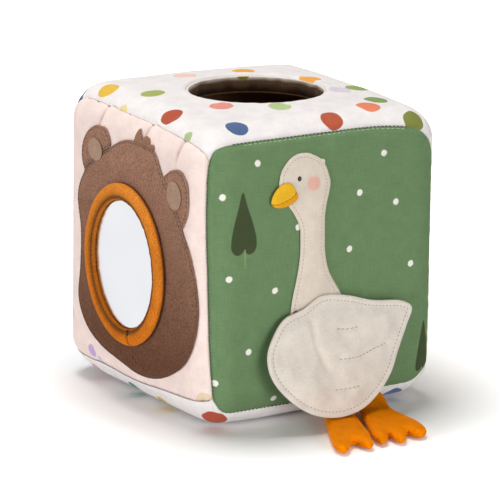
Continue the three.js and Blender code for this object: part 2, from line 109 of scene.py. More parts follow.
def graded(tree, value, low, high, to_low=0.0, to_high=1.0, **settings):
    """A value carried from one span onto another."""
    spans = {"Value": value, "From Min": low, "From Max": high, "To Min": to_low, "To Max": to_high}
    return new_node(tree, "ShaderNodeMapRange", spans, **settings).outputs[0]


def plain(tree, kind, colour, **inputs):
    return new_node(tree, "ShaderNode" + kind, {"Color": (*colour, 1.0), **inputs}).outputs[0]


def mixed(tree, share, first, second):
    return new_node(tree, "ShaderNodeMixShader", {0: share, 1: first, 2: second}).outputs[0]


def seen_rays(tree):
    """Whether a surface is seen directly, and whether it is seen in a mirror or through a clear sheet."""
    path = new_node(tree, "ShaderNodeLightPath").outputs
    return path["Is Camera Ray"], worked(tree, "MAXIMUM", path["Is Glossy Ray"], path["Is Transmission Ray"])


scene.world = bpy.data.worlds.new("studio")
scene.world.use_nodes = True
tree = scene.world.node_tree
tree.nodes.clear()
room = plain(tree, "Background", ROOM_COLOUR, Strength=ROOM_LIGHT)
backdrop = plain(tree, "Background", WHITE, Strength=1.0)
new_node(tree, "ShaderNodeOutputWorld", {
    "Surface": mixed(tree, worked(tree, "MAXIMUM", *seen_rays(tree)), room, backdrop)})
floor_mesh = bpy.data.meshes.new("floor")
corners = [(-1, -1), (1, -1), (1, 1), (-1, 1)]
corners = [(x * FLOOR_REACH, y * FLOOR_REACH, FLOOR_LEVEL) for x, y in corners]
floor_mesh.from_pydata(corners, [], [(0, 1, 2, 3)])
floor_material = bpy.data.materials.new("floor_sweep")
floor_material.use_nodes = True
floor_mesh.materials.append(floor_material)
tree = floor_material.node_tree
tree.nodes.clear()
where = new_node(tree, "ShaderNodeTexCoord").outputs["Object"]
apart = new_node(tree, "ShaderNodeVectorMath", {0: where}, operation="LENGTH").outputs["Value"]
glow = plain(tree, "Emission", GLOW_COLOUR, Strength=graded(tree, apart, *GLOW_SPAN))
paper = new_node(tree, "ShaderNodeAddShader", {0: plain(tree, "BsdfDiffuse", WHITE), 1: glow}).outputs[0]
direct, mirrored = seen_rays(tree)
bounce, bright = plain(tree, "BsdfDiffuse", FLOOR_BOUNCE), plain(tree, "Emission", WHITE, Strength=1.0)
unseen = mixed(tree, mirrored, bounce, bright)
new_node(tree, "ShaderNodeOutputMaterial", {"Surface": mixed(tree, direct, unseen, paper)})
add_object("floor", floor_mesh)

# Base: a white cotton cover printed with dots, which wraps up round the padded bottom edges to the
# bottom seam, with a foam board and a floor cloth behind it. The toy's weight presses it flat.
SEAM_HALF = 65.0
SEAM_TO_SEAM = 138.0
EDGE_RADIUS = 18.0
BASE_SWELL = 3.7
BASE_PRESS = 0.5
TOP_CROWN = 5.0
SIDE_CROWN = 1.5
COVER_THICKNESS = 1.2
FOAM_THICKNESS = 7.2
LINING_THICKNESS = 0.9
LAYER_GAP = 0.3
SEAM_GAP = 0.08
FOAM_GAP = 0.3
FOAM_PRESS = 0.35
FOAM_SLACK = 0.6
SEAM_RISE = EDGE_RADIUS * (1 - math.sqrt(0.5))
HALF_WIDTH = SEAM_HALF + SEAM_RISE
HALF_HEIGHT = SEAM_TO_SEAM / 2 + SEAM_RISE
MID_HEIGHT = BASE_SWELL + HALF_HEIGHT
FOAM_DEPTH = COVER_THICKNESS + LAYER_GAP
LINING_DEPTH = FOAM_DEPTH + FOAM_THICKNESS + LAYER_GAP
SINK_FROM, SINK_OVER = 30.0, 118.0
RIGHT_SINK, FAR_SINK, LEFT_RISE = 1.0, 3.5, 0.5
BOW_ACROSS, BOW_BACK = 17.0, 24.0
EDGE_BOW = ([0, 10, 22, 34, 48, 64, 82, 100, 114, 128, 142, 156],
            [3.6, 4.2, 3.4, 1.9, 0.7, 0, -0.8, -1.8, -2.2, -1.9, -0.5, 0])
BORDER = 9.0
FAR_OFF = 9.0


def panel(across, up, half_up, crown, power=2):
    across, up = np.array(across, float), np.array(up, float)
    return {"across": across, "up": up, "outward": np.cross(across, up), "half_across": HALF_WIDTH,
            "half_up": half_up, "crown": crown, "power": power}


WAYS = [(1, 0, 0), (0, 1, 0), (-1, 0, 0), (0, -1, 0)]
AROUND = [panel(way, (0, 0, 1), HALF_HEIGHT, SIDE_CROWN) for way in WAYS]
GOOSE_SIDE, RIGHT_SIDE, BACK_SIDE, BEAR_SIDE = AROUND
TOP_SIDE = panel((1, 0, 0), (0, 1, 0), HALF_WIDTH, TOP_CROWN)
BASE_SIDE = panel((1, 0, 0), (0, -1, 0), HALF_WIDTH, BASE_SWELL + BASE_PRESS, 4)


def soft_step(value):
    value = np.clip(value, 0, 1)
    return value * value * (3 - 2 * value)


def bell(value):
    return np.exp(-value ** 2)


def settled(points):
    """Points of the cube after use: its far top corner has sunk, and its front upright edge bows."""
    x, y, z = points.T
    right, back = 0.5 + 0.5 * x / HALF_WIDTH, 0.5 + 0.5 * y / HALF_WIDTH
    drop = np.clip(right, 0, 1.2) * (RIGHT_SINK + FAR_SINK * np.clip(back, 0, 1.2))
    drop -= LEFT_RISE * np.clip(back * (1 - right), 0, 1.2)
    near = bell((x + HALF_WIDTH) / BOW_ACROSS) * bell((y + HALF_WIDTH) / BOW_BACK)
    high = soft_step((z - SINK_FROM) / SINK_OVER)
    return points + np.stack([near * np.interp(z, *EDGE_BOW), np.zeros(len(points)), -high * drop], axis=1)


def on_panel(side, across, up, out, crown=None):
    """Points of a panel, out millimetres outside its plain surface."""
    across, up = np.asarray(across, float), np.asarray(up, float)
    out = np.broadcast_to(np.asarray(out, float), across.shape)
    half = np.array([HALF_WIDTH, HALF_WIDTH, HALF_HEIGHT])
    point = side["outward"] * half + across[:, None] * side["across"] + up[:, None] * side["up"]
    core = np.clip(point, EDGE_RADIUS - half, half - EDGE_RADIUS)
    outward = point - core
    outward /= np.linalg.norm(outward, axis=1)[:, None]
    swell = side["crown"] if crown is None else crown
    for place, reach in ((across, side["half_across"]), (up, side["half_up"])):
        swell = swell * (1 - np.abs(place / reach) ** side["power"])
    result = core + outward * (EDGE_RADIUS + out)[:, None] + side["outward"] * swell[:, None]
    result[:, 2] += MID_HEIGHT
    if side is BASE_SIDE:
        result[:, 2] = np.maximum(result[:, 2], -np.minimum(out, 0))
    return settled(result)


def cloth_length(value, half, bent=np.arctan):
    """Length along the cloth from the panel's middle, round its padded edge."""
    flat = half - EDGE_RADIUS
    past = np.maximum(np.abs(value) - flat, 0)
    return np.sign(value) * (np.minimum(np.abs(value), flat) + EDGE_RADIUS * bent(past / EDGE_RADIUS))


def cloth_place(length, half):
    """The inverse of cloth_length."""
    return cloth_length(length, half, np.tan)


def panel_place(s, t, half_up=HALF_HEIGHT):
    return cloth_place(s, HALF_WIDTH), cloth_place(t, half_up)


def walked_length(points):
    """Length along a line of points, at each of them."""
    return np.concatenate([[0], np.cumsum(np.linalg.norm(np.diff(points, axis=0), axis=1))])


def smooth_line(chosen, spacing, closed=True):
    """An even line of points along a smooth curve through the chosen ones."""
    chosen = np.array(chosen, float)
    before, after = chosen[-1:], chosen[:2]
    if not closed:
        before, after = 2 * chosen[:1] - chosen[1:2], 2 * chosen[-1:] - chosen[-2:-1]
    row = np.concatenate([before, chosen, after])
    u = np.linspace(0, 1, 25)[:-1, None]
    pieces = []
    for p0, p1, p2, p3 in zip(row, row[1:], row[2:], row[3:]):
        d0, d1, d2 = [max(np.linalg.norm(b - a), 1e-6) ** 0.5 for a, b in ((p0, p1), (p1, p2), (p2, p3))]
        m1 = ((p1 - p0) / d0 - (p2 - p0) / (d0 + d1) + (p2 - p1) / d1) * d1
        m2 = ((p2 - p1) / d1 - (p3 - p1) / (d1 + d2) + (p3 - p2) / d2) * d1
        pieces.append((2 * u ** 3 - 3 * u ** 2 + 1) * p1 + (u ** 3 - 2 * u ** 2 + u) * m1
                      + (3 * u ** 2 - 2 * u ** 3) * p2 + (u ** 3 - u ** 2) * m2)
    fine = np.concatenate([*pieces, chosen[:1] if closed else chosen[-1:]])
    walked = walked_length(fine)
    at = np.linspace(0, walked[-1], max(int(round(walked[-1] / spacing)), 3) + 1)
    line = np.stack([np.interp(at, walked, fine[:, k]) for k in range(fine.shape[1])], axis=1)
    return line[:-1] if closed else line


# The seams of each side panel with the base and the top, in places across and up the panel. The
# white cloth wraps round the corners, where the seams run in from the cube's own edges.
SEAMS = [
    (GOOSE_SIDE, "high", [
        (-70.27, 64), (-69, 66.8), (-67, 70.2), (-64.3, 72.3), (-60, 73.3), (-52, 73.8), (-40, 73.95),
        (10, 73.95), (26, 73.7), (34, 72.8), (42, 71.2), (48, 69.5), (53, 67.5), (58, 64.8), (62.5, 61.5),
        (66.5, 58), (70.27, 54)]),
    (GOOSE_SIDE, "low", [
        (-70.27, -62), (-67, -65.8), (-63, -70.2), (-58.5, -73.2), (-54, -73.95), (42, -73.95), (50, -73.4),
        (56, -71.5), (62, -68), (70.27, -61)]),
    (BEAR_SIDE, "high", [
        (-70.27, 61), (-66, 65), (-61, 68.8), (-56, 71.6), (-50, 73.4), (-42, 73.95), (0, 73.95), (10, 73.8),
        (20, 73.3), (30, 72.8), (39, 71.9), (49, 70.7), (60, 69.3), (66, 67.4), (70.27, 64)]),
    (BEAR_SIDE, "low", [
        (-70.27, -64), (-64, -67), (-53, -68.4), (-42, -69), (-34, -67.4), (-24, -67.6), (-15, -68.4),
        (-5, -69), (5, -68.4), (14, -67), (27, -64.8), (37, -64), (47, -63.7), (56, -63.4), (64, -63.2),
        (70.27, -62)]),
    (RIGHT_SIDE, "high", [
        (-70.27, 54), (-62, 60), (-52, 66), (-40, 71.4), (-28, 73.95), (30, 73.95), (50, 72), (62, 67),
        (70.27, 60)]),
    (RIGHT_SIDE, "low", [
        (-70.27, -61), (-60, -66), (-48, -69), (0, -69.5), (48, -69), (60, -67), (70.27, -63)]),
    (BACK_SIDE, "high", [
        (-70.27, 60), (-60, 68), (-50, 72.6), (-40, 73.95), (40, 73.95), (50, 72.5), (60, 68), (70.27, 61)]),
    (BACK_SIDE, "low", [(-70.27, -63), (-60, -67), (-48, -69), (48, -69), (60, -67), (70.27, -64)]),
]
for side, edge, chosen in SEAMS:
    line = smooth_line(chosen, 0.4, closed=False)
    side[edge] = cloth_length(line[:, 0], HALF_WIDTH), cloth_length(line[:, 1], HALF_HEIGHT)
REACH = cloth_length(HALF_WIDTH, HALF_WIDTH)
REACH_UP = cloth_length(HALF_HEIGHT, HALF_HEIGHT)
PANEL_CLOTH = 2 * REACH * MM


def grid_lines(half, coarse, fine, border):
    """Lengths from seam to seam, closer together within border of the seams."""
    reach = cloth_length(half, half)
    inner = np.linspace(border - reach, reach - border, int(2 * (reach - border) / coarse) + 1)
    edge = np.linspace(reach - border, reach, int(border / fine) + 1)[1:]
    return np.concatenate([-edge[::-1], inner, edge])


def grid_faces(columns, rows, closed_columns=False, closed_rows=False):
    i, j = np.meshgrid(np.arange(columns - (not closed_columns)), np.arange(rows - (not closed_rows)))
    i, j = i.ravel(), j.ravel()
    right, up = (i + 1) % columns, (j + 1) % rows * columns
    return np.stack([j * columns + i, j * columns + right, up + right, up + i], axis=1)


def side_grid(side, coarse, fine, border):
    """Cloth lengths over a panel, their places across and up it, and the faces between them."""
    columns = grid_lines(side["half_across"], coarse, fine, border)
    rows = grid_lines(side["half_up"], coarse, fine, border)
    s, t = [v.ravel() for v in np.meshgrid(columns, rows)]
    return s, t, *panel_place(s, t, side["half_up"]), grid_faces(len(columns), len(rows))


def rumple(x, y, seed):
    """Smooth noise between about -1 and 1, the same on every run."""
    return np.array([noise.noise((a, b, seed)) for a, b in zip(x, y)])


def round_rumple(angle, scale, third):
    """The same round a loop, where it meets itself."""
    third = np.broadcast_to(third, np.shape(angle))
    places = [(math.cos(v) * scale, math.sin(v) * scale, w) for v, w in zip(angle, third)]
    return np.array([noise.noise(place) for place in places])


def set_field(mesh, label, kind, value, key="value"):
    mesh.attributes.new(label, kind, "POINT").data.foreach_set(key, np.asarray(value, np.float32).ravel())


def closed_cloth(name, outer, inner, faces, cloth, values=None, colours=None):
    """A closed layer between two surfaces over the same faces. Cloth is each point's place on it."""
    count = len(outer)
    walls = {}
    for column in range(faces.shape[1]):
        for a, b in zip(faces[:, column], faces[:, (column + 1) % faces.shape[1]]):
            if walls.pop((b, a), None) is None:
                walls[(a, b)] = True
    polygons = [tuple(f) for f in faces.tolist()]
    polygons += [tuple(count + v for v in reversed(f)) for f in faces.tolist()]
    polygons += [(b, a, count + a, count + b) for a, b in walls]
    mesh = bpy.data.meshes.new(name)
    mesh.from_pydata((np.concatenate([outer, inner]) * MM).tolist(), [], polygons)
    corner_points = np.empty(len(mesh.loops), np.int32)
    mesh.loops.foreach_get("vertex_index", corner_points)
    both = np.concatenate([cloth, cloth])[corner_points]
    mesh.uv_layers.new(name="cloth").data.foreach_set("uv", both.astype(np.float32).ravel())
    for label, value in (values or {}).items():
        set_field(mesh, label, "FLOAT", np.concatenate([value, np.full(count, FAR_OFF)]))
    for label, value in (colours or {}).items():
        set_field(mesh, label, "FLOAT_COLOR", np.concatenate([value, value]), "color")
    mesh.update()
    mesh.shade_smooth()
    return add_object(name, mesh)


def dress(piece, material, body, node):
    piece.data.materials.append(material)
    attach(piece, body)
    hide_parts(node)
    return piece


def paint(code, share=1.0):
    """A colour written as on a colour chart, in linear light."""
    channels = [int(code[i:i + 2], 16) / 255 for i in (0, 2, 4)]
    linear = [c / 12.92 if c <= 0.04045 else ((c + 0.055) / 1.055) ** 2.4 for c in channels]
    return (*[min(c * share, 1.0) for c in linear], 1.0)


def mix(tree, factor, first, second):
    return new_node(tree, "ShaderNodeMix", {0: factor, 6: first, 7: second}, data_type="RGBA").outputs[2]


def scaled(tree, colour, share):
    return new_node(tree, "ShaderNodeVectorMath", {0: colour, "Scale": share}, operation="SCALE").outputs[0]


def noise_field(tree, where, scale, detail=2.0):
    grain = {"Vector": where, "Scale": scale, "Detail": detail}
    return new_node(tree, "ShaderNodeTexNoise", grain).outputs["Fac"]


def attribute(tree, label, output="Fac"):
    return new_node(tree, "ShaderNodeAttribute", attribute_name=label).outputs[output]


def new_material(name):
    """A new material, its node tree, and places on the object."""
    material = bpy.data.materials.new(name)
    material.use_nodes = True
    tree = material.node_tree
    return material, tree, new_node(tree, "ShaderNodeTexCoord").outputs["Object"]


def finish_material(tree, colour, values, height=None, strength=1.0, depth=0.0):
    """Links a material's colour and its bumps, and sets the plain values of its shader."""
    shader = tree.nodes["Principled BSDF"]
    tree.links.new(colour, shader.inputs["Base Color"])
    if height:
        bump = new_node(tree, "ShaderNodeBump", {
            "Strength": strength, "Distance": depth * MM, "Height": height})
        tree.links.new(bump.outputs[0], shader.inputs["Normal"])
    for label, value in values.items():
        shader.inputs[label].default_value = value


def woven(name, colour, yarn=0.55, depth=0.05, slub=0.09, sheen=0.12, prints=()):
    """Plain woven cotton. Yarn is its pitch, and a print is (distance value, colour, softness)."""
    material, tree, _ = new_material(name)
    cloth = new_node(tree, "ShaderNodeUVMap", uv_map="cloth").outputs["UV"]
    heights, streaks = [], []
    for direction, stretch in (("X", (3.0, 0.16, 1.0)), ("Y", (0.16, 3.0, 1.0))):
        wave = new_node(tree, "ShaderNodeTexWave", {
            "Vector": cloth, "Scale": 0.3142 / yarn, "Distortion": 0.8, "Detail": 1.0, "Detail Scale": 0.6,
        }, wave_type="BANDS", bands_direction=direction)
        heights.append(wave.outputs["Fac"])
        drawn = new_node(tree, "ShaderNodeMapping", {"Vector": cloth, "Scale": stretch}).outputs[0]
        streaks.append(noise_field(tree, drawn, 0.55 / yarn, 3.0))
    slubs = worked(tree, "ADD", *streaks)
    thick, thin = paint(colour, 1 - 1.6 * slub), paint(colour, 1 + 1.2 * slub)
    surface = mix(tree, graded(tree, slubs, 0.7, 1.3), thick, thin)
    for label, ink, softness in prints:
        coloured = ink.startswith("@")
        wobble = worked(tree, "MULTIPLY_ADD", noise_field(tree, cloth, 1.4), 0.35, attribute(tree, label))
        cover = graded(tree, wobble, 0.175 + softness, 0.175 - softness, interpolation_type="SMOOTHSTEP")
        cover = worked(tree, "MULTIPLY", cover, graded(tree, slubs, 0.7, 1.3, 0.96 if coloured else 0.93))
        surface = mix(tree, cover, surface, attribute(tree, ink[1:], "Color") if coloured else paint(ink))
    surface = scaled(tree, surface, graded(tree, noise_field(tree, cloth, 0.12, 3.0), 0.3, 0.7, 0.94, 1.04))
    bumps = worked(tree, "MULTIPLY_ADD", slubs, 0.8, worked(tree, "ADD", *heights))
    finish_material(tree, surface, {
        "Roughness": 0.9, "Sheen Weight": sheen, "Sheen Roughness": 0.5, "Sheen Tint": paint(colour),
        "Specular IOR Level": 0.12, "Specular Tint": paint(colour)}, bumps, 1.0, depth)
    return material


# A printed dot is (centre x, y, z, radius, colour). Each is a little out of round.
def dots_on(side, dots, ground=0.0, out=0.0):
    """Dots given by their place across and up a panel, radius and colour."""
    centres = on_panel(side, [d[0] for d in dots], [d[1] - ground for d in dots], out)
    return [(*centre, *dot[2:]) for centre, dot in zip(centres, dots)]


def dot_print(points, dots):
    """Distance of each point from the nearest dot's edge, and that dot's colour."""
    nearest = np.full(len(points), FAR_OFF)
    ink = np.ones((len(points), 4))
    for index, (x, y, z, radius, colour) in enumerate(dots):
        apart = points - np.array([x, y, z])
        reach = np.linalg.norm(apart, axis=1)
        close = reach < 3 * radius
        turned = apart[close] / np.maximum(reach[close], 1e-6)[:, None]
        uneven = np.array([noise.noise((t[0] * 1.2, t[1] * 1.2, t[2] * 1.2 + index * 7.3)) for t in turned])
        gap = np.full(len(points), FAR_OFF)
        gap[close] = reach[close] - radius * (1 + 0.11 * uneven)
        nearer = gap < nearest
        nearest[nearer] = gap[nearer]
        ink[nearer] = paint(colour)
    return nearest, ink


ROLL_REACH = 3.0
PUCKER_HEIGHT, PUCKER_REACH = 0.35, 5.0
PUCKER_ALONG, PUCKER_DOWN = 4.5, 20.0


def seam_pull(gap, along, seed):
    """Height of the cloth beside a seam: it rolls in at the seam, and short puckers run off it."""
    rolled = -np.clip(1 - gap / ROLL_REACH, 0, 1) ** 2
    uneven = rumple(along / PUCKER_ALONG, gap / PUCKER_DOWN, seed)
    return rolled + PUCKER_HEIGHT * np.exp(-gap / PUCKER_REACH) * uneven


def white_relief(x, y, edge, seed):
    """Relief of the top or base cloth, from its distance to the seam round each side panel."""
    result = 0.45 * rumple(x / 34, y / 34, seed)
    for index, (near, along) in enumerate(((REACH + y, x), (REACH - x, y), (REACH - y, -x), (REACH + x, -y))):
        gap = near + REACH_UP - np.abs(np.interp(along, *AROUND[index][edge]))
        result += seam_pull(gap, along, seed + index)
    return result


def quarter_turned(points, quarters):
    for _ in range(quarters):
        points = np.stack([-points[:, 1], points[:, 0]], axis=1)
    return points


SKIRT_ROWS = 8


def dotted_cover(label, outer, inner, cloth, faces, rim, lap, edge, seed, dots, **size):
    """The top or base cover, carried round the cube's edges to the seams of the side panels."""
    way = 1 if edge == "high" else -1
    for share in np.linspace(0, 1, SKIRT_ROWS + 1)[1:]:
        shell, lining, laid = [], [], []
        for index, side in enumerate(AROUND):
            seam = np.interp(lap, *side[edge])
            up = way * REACH_UP + share * (seam - way * REACH_UP)
            lift = seam_pull(np.abs(seam - up), lap, seed + index)
            place = panel_place(lap, up + way * SEAM_GAP * share)
            shell.append(on_panel(side, *place, lift))
            lining.append(on_panel(side, *place, np.minimum(lift, 0) - COVER_THICKNESS))
            beyond = np.stack([lap, np.abs(up) - REACH - REACH_UP], axis=1)
            laid.append(quarter_turned(beyond, index) * (1, way))
        ring = np.arange(len(outer), len(outer) + 4 * len(lap))
        outer, inner = np.concatenate([outer, *shell]), np.concatenate([inner, *lining])
        cloth = np.concatenate([cloth, *laid])
        quads = np.stack([rim, ring, np.roll(ring, -1), np.roll(rim, -1)], axis=1)
        faces = np.concatenate([faces, quads if edge == "high" else quads[:, ::-1]])
        rim = ring
    gap, colour = dot_print(outer, dots)
    cover = closed_cloth(label + "_cover_cloth", outer, inner, faces, cloth,
                         {"dots": gap}, {"dot_colour": colour})
    dress(cover, dotted_cotton, "box", label + "_cover")


BASE_DOTS = [
    (-57.0, -59.6, 5.2, 6.6, "B4472B"), (-60.5, 11.0, 2.4, 5.6, "3D8A7E"), (-60.5, -17.5, 2.2, 5.8, "DDB63B"),
    (-62.0, 46.0, 2.6, 5.6, "D8A8B4"), (47.5, -60.0, 3.2, 5.6, "4A6A9C"), (14.0, -61.5, 2.6, 5.6, "E0714E"),
    (62.0, -24.0, 3.4, 5.6, "F0A83A"), (61.5, 8.0, 3.0, 5.6, "B4472B"), (62.0, 41.0, 3.4, 5.6, "B9CC8E"),
    (34.0, 61.5, 3.0, 5.6, "3D8A7E"), (2.0, 62.0, 3.2, 5.6, "E9A79A"), (-32.0, 61.5, 3.0, 5.6, "46679A"),
    (-30.0, 20.0, 0.0, 5.6, "B4472B"), (8.0, 30.0, 0.0, 5.6, "E5C63B"), (28.0, -8.0, 0.0, 5.6, "9DAE5A"),
    (-8.0, -26.0, 0.0, 5.6, "46679A"),
]
BASE_SEED = 11.0
dotted_cotton = woven("dotted_cotton", "EFEBEA", slub=0.035, prints=[("dots", "@dot_colour", 0.22)])
s, t, a, b, faces = side_grid(BASE_SIDE, 1.3, 0.45, BORDER)
relief = white_relief(s, -t, "low", BASE_SEED) * soft_step((np.maximum(np.abs(s), np.abs(t)) - 48) / 9)
lap = grid_lines(HALF_WIDTH, 1.3, 0.45, BORDER)[:-1]
grid = np.arange(len(s)).reshape(len(lap) + 1, -1)
rim = np.concatenate([grid[-1, :-1], grid[:0:-1, -1], grid[0, :0:-1], grid[:-1, 0]])
dotted_cover("bottom", on_panel(BASE_SIDE, a, b, relief),
             on_panel(BASE_SIDE, a, b, np.minimum(relief, 0) - COVER_THICKNESS),
             np.stack([s, t], axis=1), faces, rim, lap, "low", BASE_SEED, BASE_DOTS)


def cellular(name, colour, cell=0.9):
    """Soft foam, with its cut cells."""
    material, tree, where = new_material(name)
    cells = new_node(tree, "ShaderNodeTexVoronoi", {"Vector": where, "Scale": 1 / (cell * MM)})
    cells = cells.outputs["Distance"]
    surface = mix(tree, cells, paint(colour, 0.8), paint(colour))
    finish_material(tree, surface, {"Roughness": 0.95}, cells, 0.7, 0.2)
    return material


foam = cellular("soft_foam", "EFE8D2")
lining_cotton = woven("lining_cotton", "94704E", slub=0.12)


def inner_layer(name, node, side, grid, surfaces, gap, material):
    """A layer inside a cover, which stops short of the cover's seams by gap."""
    s, t, a, b, faces = grid
    for surface in surfaces:
        for place, half, way in ((a, side["half_across"], side["across"]), (b, side["half_up"], side["up"])):
            surface -= np.outer(np.where(np.abs(place) > half - 0.01, np.sign(place), 0) * gap, way)
    piece = closed_cloth(name, *surfaces, faces, np.stack([s, t], axis=1))
    return dress(piece, material, "box", node)


def line_panel(side, label, lining, seed, crown=None):
    """The foam board behind a cover, and a lining stitched inside it, loose enough to wrinkle a little."""
    s, t, a, b, _ = grid = side_grid(side, 4.0, 1.5, 15.0)
    press = FOAM_PRESS * (0.5 + 0.5 * rumple(s / 20, t / 20, seed))
    outer = on_panel(side, a, b, -FOAM_DEPTH - press - FOAM_SLACK, crown)
    inner = on_panel(side, a, b, -FOAM_DEPTH - FOAM_THICKNESS + press, 0)
    board = inner_layer(label + "_foam_board", label + "_foam", side, grid, (outer, inner), FOAM_GAP,
                        foam)
    s, t, a, b, _ = grid = side_grid(side, 2.6, 1.2, 10.0)
    reach_up = cloth_length(side["half_up"], side["half_up"])
    edge = np.minimum(REACH - np.abs(s), reach_up - np.abs(t))
    slack = np.maximum(soft_step(edge / 14) * (0.9 + 0.9 * rumple(s / 16, t / 26, seed + 1)), 0)
    slack *= 0.2 if side is BASE_SIDE else 1.0
    outer = on_panel(side, a, b, -LINING_DEPTH - slack, 0)
    inner = on_panel(side, a, b, -LINING_DEPTH - LINING_THICKNESS - slack, 0)
    cloth = inner_layer(lining + "_cloth", lining, side, grid, (outer, inner), SEAM_GAP,
                        lining_cotton)


line_panel(BASE_SIDE, "bottom", "floor_lining", 2.0, crown=0)


# Goose panel: green cotton with a print of specks and trees, sewn between its neighbours with
# rounded corners. The side seams pull its cloth into short puckers, longer ones hang from the top.
def seamed_panel(side, coarse=1.2, fine=0.42):
    """Lengths over a side panel between its seams, the gap to the top, low and upright seams, and faces."""
    columns = grid_lines(HALF_WIDTH, coarse, fine, BORDER)
    shares = grid_lines(HALF_HEIGHT, coarse, fine, BORDER) / (2 * REACH_UP) + 0.5
    high = np.interp(columns, *side["high"]) - SEAM_GAP
    low = np.interp(columns, *side["low"]) + SEAM_GAP
    t = low + (high - low) * shares[:, None]
    top_gap = (high - t) / np.hypot(1, np.gradient(high, columns))
    low_gap = (t - low) / np.hypot(1, np.gradient(low, columns))
    s = np.tile(columns, len(shares))
    faces = grid_faces(len(columns), len(shares))
    return s, t.ravel(), top_gap.ravel(), low_gap.ravel(), REACH - np.abs(s), faces


def panel_relief(s, t, gaps, seed):
    pulls = [seam_pull(gap, along, seed + k) for k, (gap, along) in enumerate(zip(gaps, (s, s, t)))]
    return np.maximum(sum(pulls), -1.4) + 0.45 * rumple(s / 34, t / 40, seed + 3)


def cover_panel(side, label, s, t, faces, relief, cotton, values=None, colours=None):
    """A side panel's cover, drawn in a little at its upright seams."""
    a, b = panel_place(s, t)
    a = np.clip(a, SEAM_GAP - HALF_WIDTH, HALF_WIDTH - SEAM_GAP)
    inner = on_panel(side, a, b, np.minimum(relief, 0) - COVER_THICKNESS)
    outer = on_panel(side, a, b, relief)
    cover = closed_cloth(label + "_cloth", outer, inner, faces, np.stack([s, t], axis=1), values, colours)
    dress(cover, cotton, "box", label + "_cover")


def edge_distance(points, outline, closed=True):
    """Distance of flat points from a line."""
    start = outline if closed else outline[:-1]
    run = (np.roll(outline, -1, axis=0) - outline)[:len(start)]
    length = np.maximum((run ** 2).sum(1), 1e-12)
    result = np.empty(len(points))
    for low in range(0, len(points), 4000):
        block = points[low:low + 4000, None, :] - start
        share = np.clip((block * run).sum(2) / length, 0, 1)
        result[low:low + 4000] = np.sqrt(((block - share[..., None] * run) ** 2).sum(2).min(1))
    return result


def outline_distance(points, outline):
    """The same for a closed line, less than 0 inside it."""
    run = np.roll(outline, -1, axis=0) - outline
    x, y = [points[:, k, None] - outline[:, k] for k in (0, 1)]
    crossing = (y >= 0) != (y - run[:, 1] >= 0)
    right = x - y / np.where(np.abs(run[:, 1]) > 1e-12, run[:, 1], 1) * run[:, 0] < 0
    inside = (crossing & right).sum(1) % 2 == 1
    return np.where(inside, -1, 1) * edge_distance(points, outline)


SPECKS = [
    (-40.7, 137.0), (-59.1, 121.7), (32.8, 133.6), (18.4, 115.2), (40.0, 107.8), (12.8, 86.9), (49.6, 74.4),
    (-56.0, 80.1), (-30.2, 71.1), (-17.3, 102.0), (-44.8, 41.5), (-66.6, 26.8), (-28.8, 14.4), (-3.5, 133.3),
    (30.0, 50.0), (4.0, 24.0),
]
SPECK_RADIUS = 1.7
TREE = [
    (-48.7, 123.4), (-51.0, 115.0), (-53.2, 107.0), (-54.7, 99.0), (-54.6, 94.6), (-52.6, 91.9),
    (-49.9, 91.8), (-48.0, 93.6), (-45.9, 91.7), (-43.2, 91.9), (-41.3, 94.4), (-41.0, 98.6), (-43.0, 107.0),
    (-45.9, 115.4),
]
TRUNK = [(-48.3, 94.5), (-47.1, 94.5), (-46.6, 84.2), (-47.6, 84.2)]
SECOND_TREE = [
    (60.4, 42.7), (57.8, 35.0), (55.8, 26.5), (54.7, 19.5), (56.0, 16.4), (58.8, 15.6), (61.0, 17.0),
    (63.6, 15.6), (66.6, 17.0), (67.0, 24.0), (64.4, 34.0),
]
SECOND_TRUNK = [(60.5, 17.5), (61.6, 17.5), (62.0, 8.0), (61.0, 8.0)]
TREE_REACH = 26.0
TOPSTITCH_INSET = 1.5
STITCHED_FROM, STITCHED_TO = -45.0, 46.0

s, t, top_gap, low_gap, side_gap, faces = seamed_panel(GOOSE_SIDE, coarse=1.1)
relief = panel_relief(s, t, (top_gap, low_gap, side_gap), 21.0)
relief += 0.55 * np.exp(-top_gap / 20) * rumple(s / 11, top_gap / 60, 25.1)
relief += 0.35 * np.exp(-low_gap / 14) * rumple(s / 10, low_gap / 50, 26.3)
relief += 0.5 * bell((side_gap - 2.8) / 1.4) * (s < 0) + 0.35 * bell((top_gap - 3.4) / 1.5)
relief += 0.8 * np.clip(1 - side_gap / 3.0, 0, 1) ** 2 * (s > 0)
relief -= 0.25 * bell((top_gap - TOPSTITCH_INSET) / 0.5) * (s > STITCHED_FROM) * (s < STITCHED_TO)
a, b = panel_place(s, t)
flat_place = np.stack([a, b + MID_HEIGHT], axis=1)
speck_dots = dots_on(GOOSE_SIDE, [(x, y, SPECK_RADIUS, "F6F3EA") for x, y in SPECKS], MID_HEIGHT)
prints = {"specks": dot_print(on_panel(GOOSE_SIDE, a, b, 0), speck_dots)[0]}
for label, shapes in (("trees", [smooth_line(TREE, 0.7), smooth_line(SECOND_TREE, 0.7)]),
                      ("trunks", [np.array(TRUNK), np.array(SECOND_TRUNK)])):
    prints[label] = np.full(len(s), FAR_OFF)
    for shape in shapes:
        near = np.abs(flat_place - shape.mean(0)).max(1) < TREE_REACH
        prints[label][near] = np.minimum(prints[label][near], outline_distance(flat_place[near], shape))
green_cotton = woven("green_cotton", "6C8861", slub=0.09, prints=[
    ("trees", "424B33", 0.3), ("trunks", "8A9660", 0.3), ("specks", "F0EFE6", 0.3)])
cover_panel(GOOSE_SIDE, "goose_panel", s, t, faces, relief, green_cotton, prints)
line_panel(GOOSE_SIDE, "goose_panel", "goose_panel_lining", 31.0)


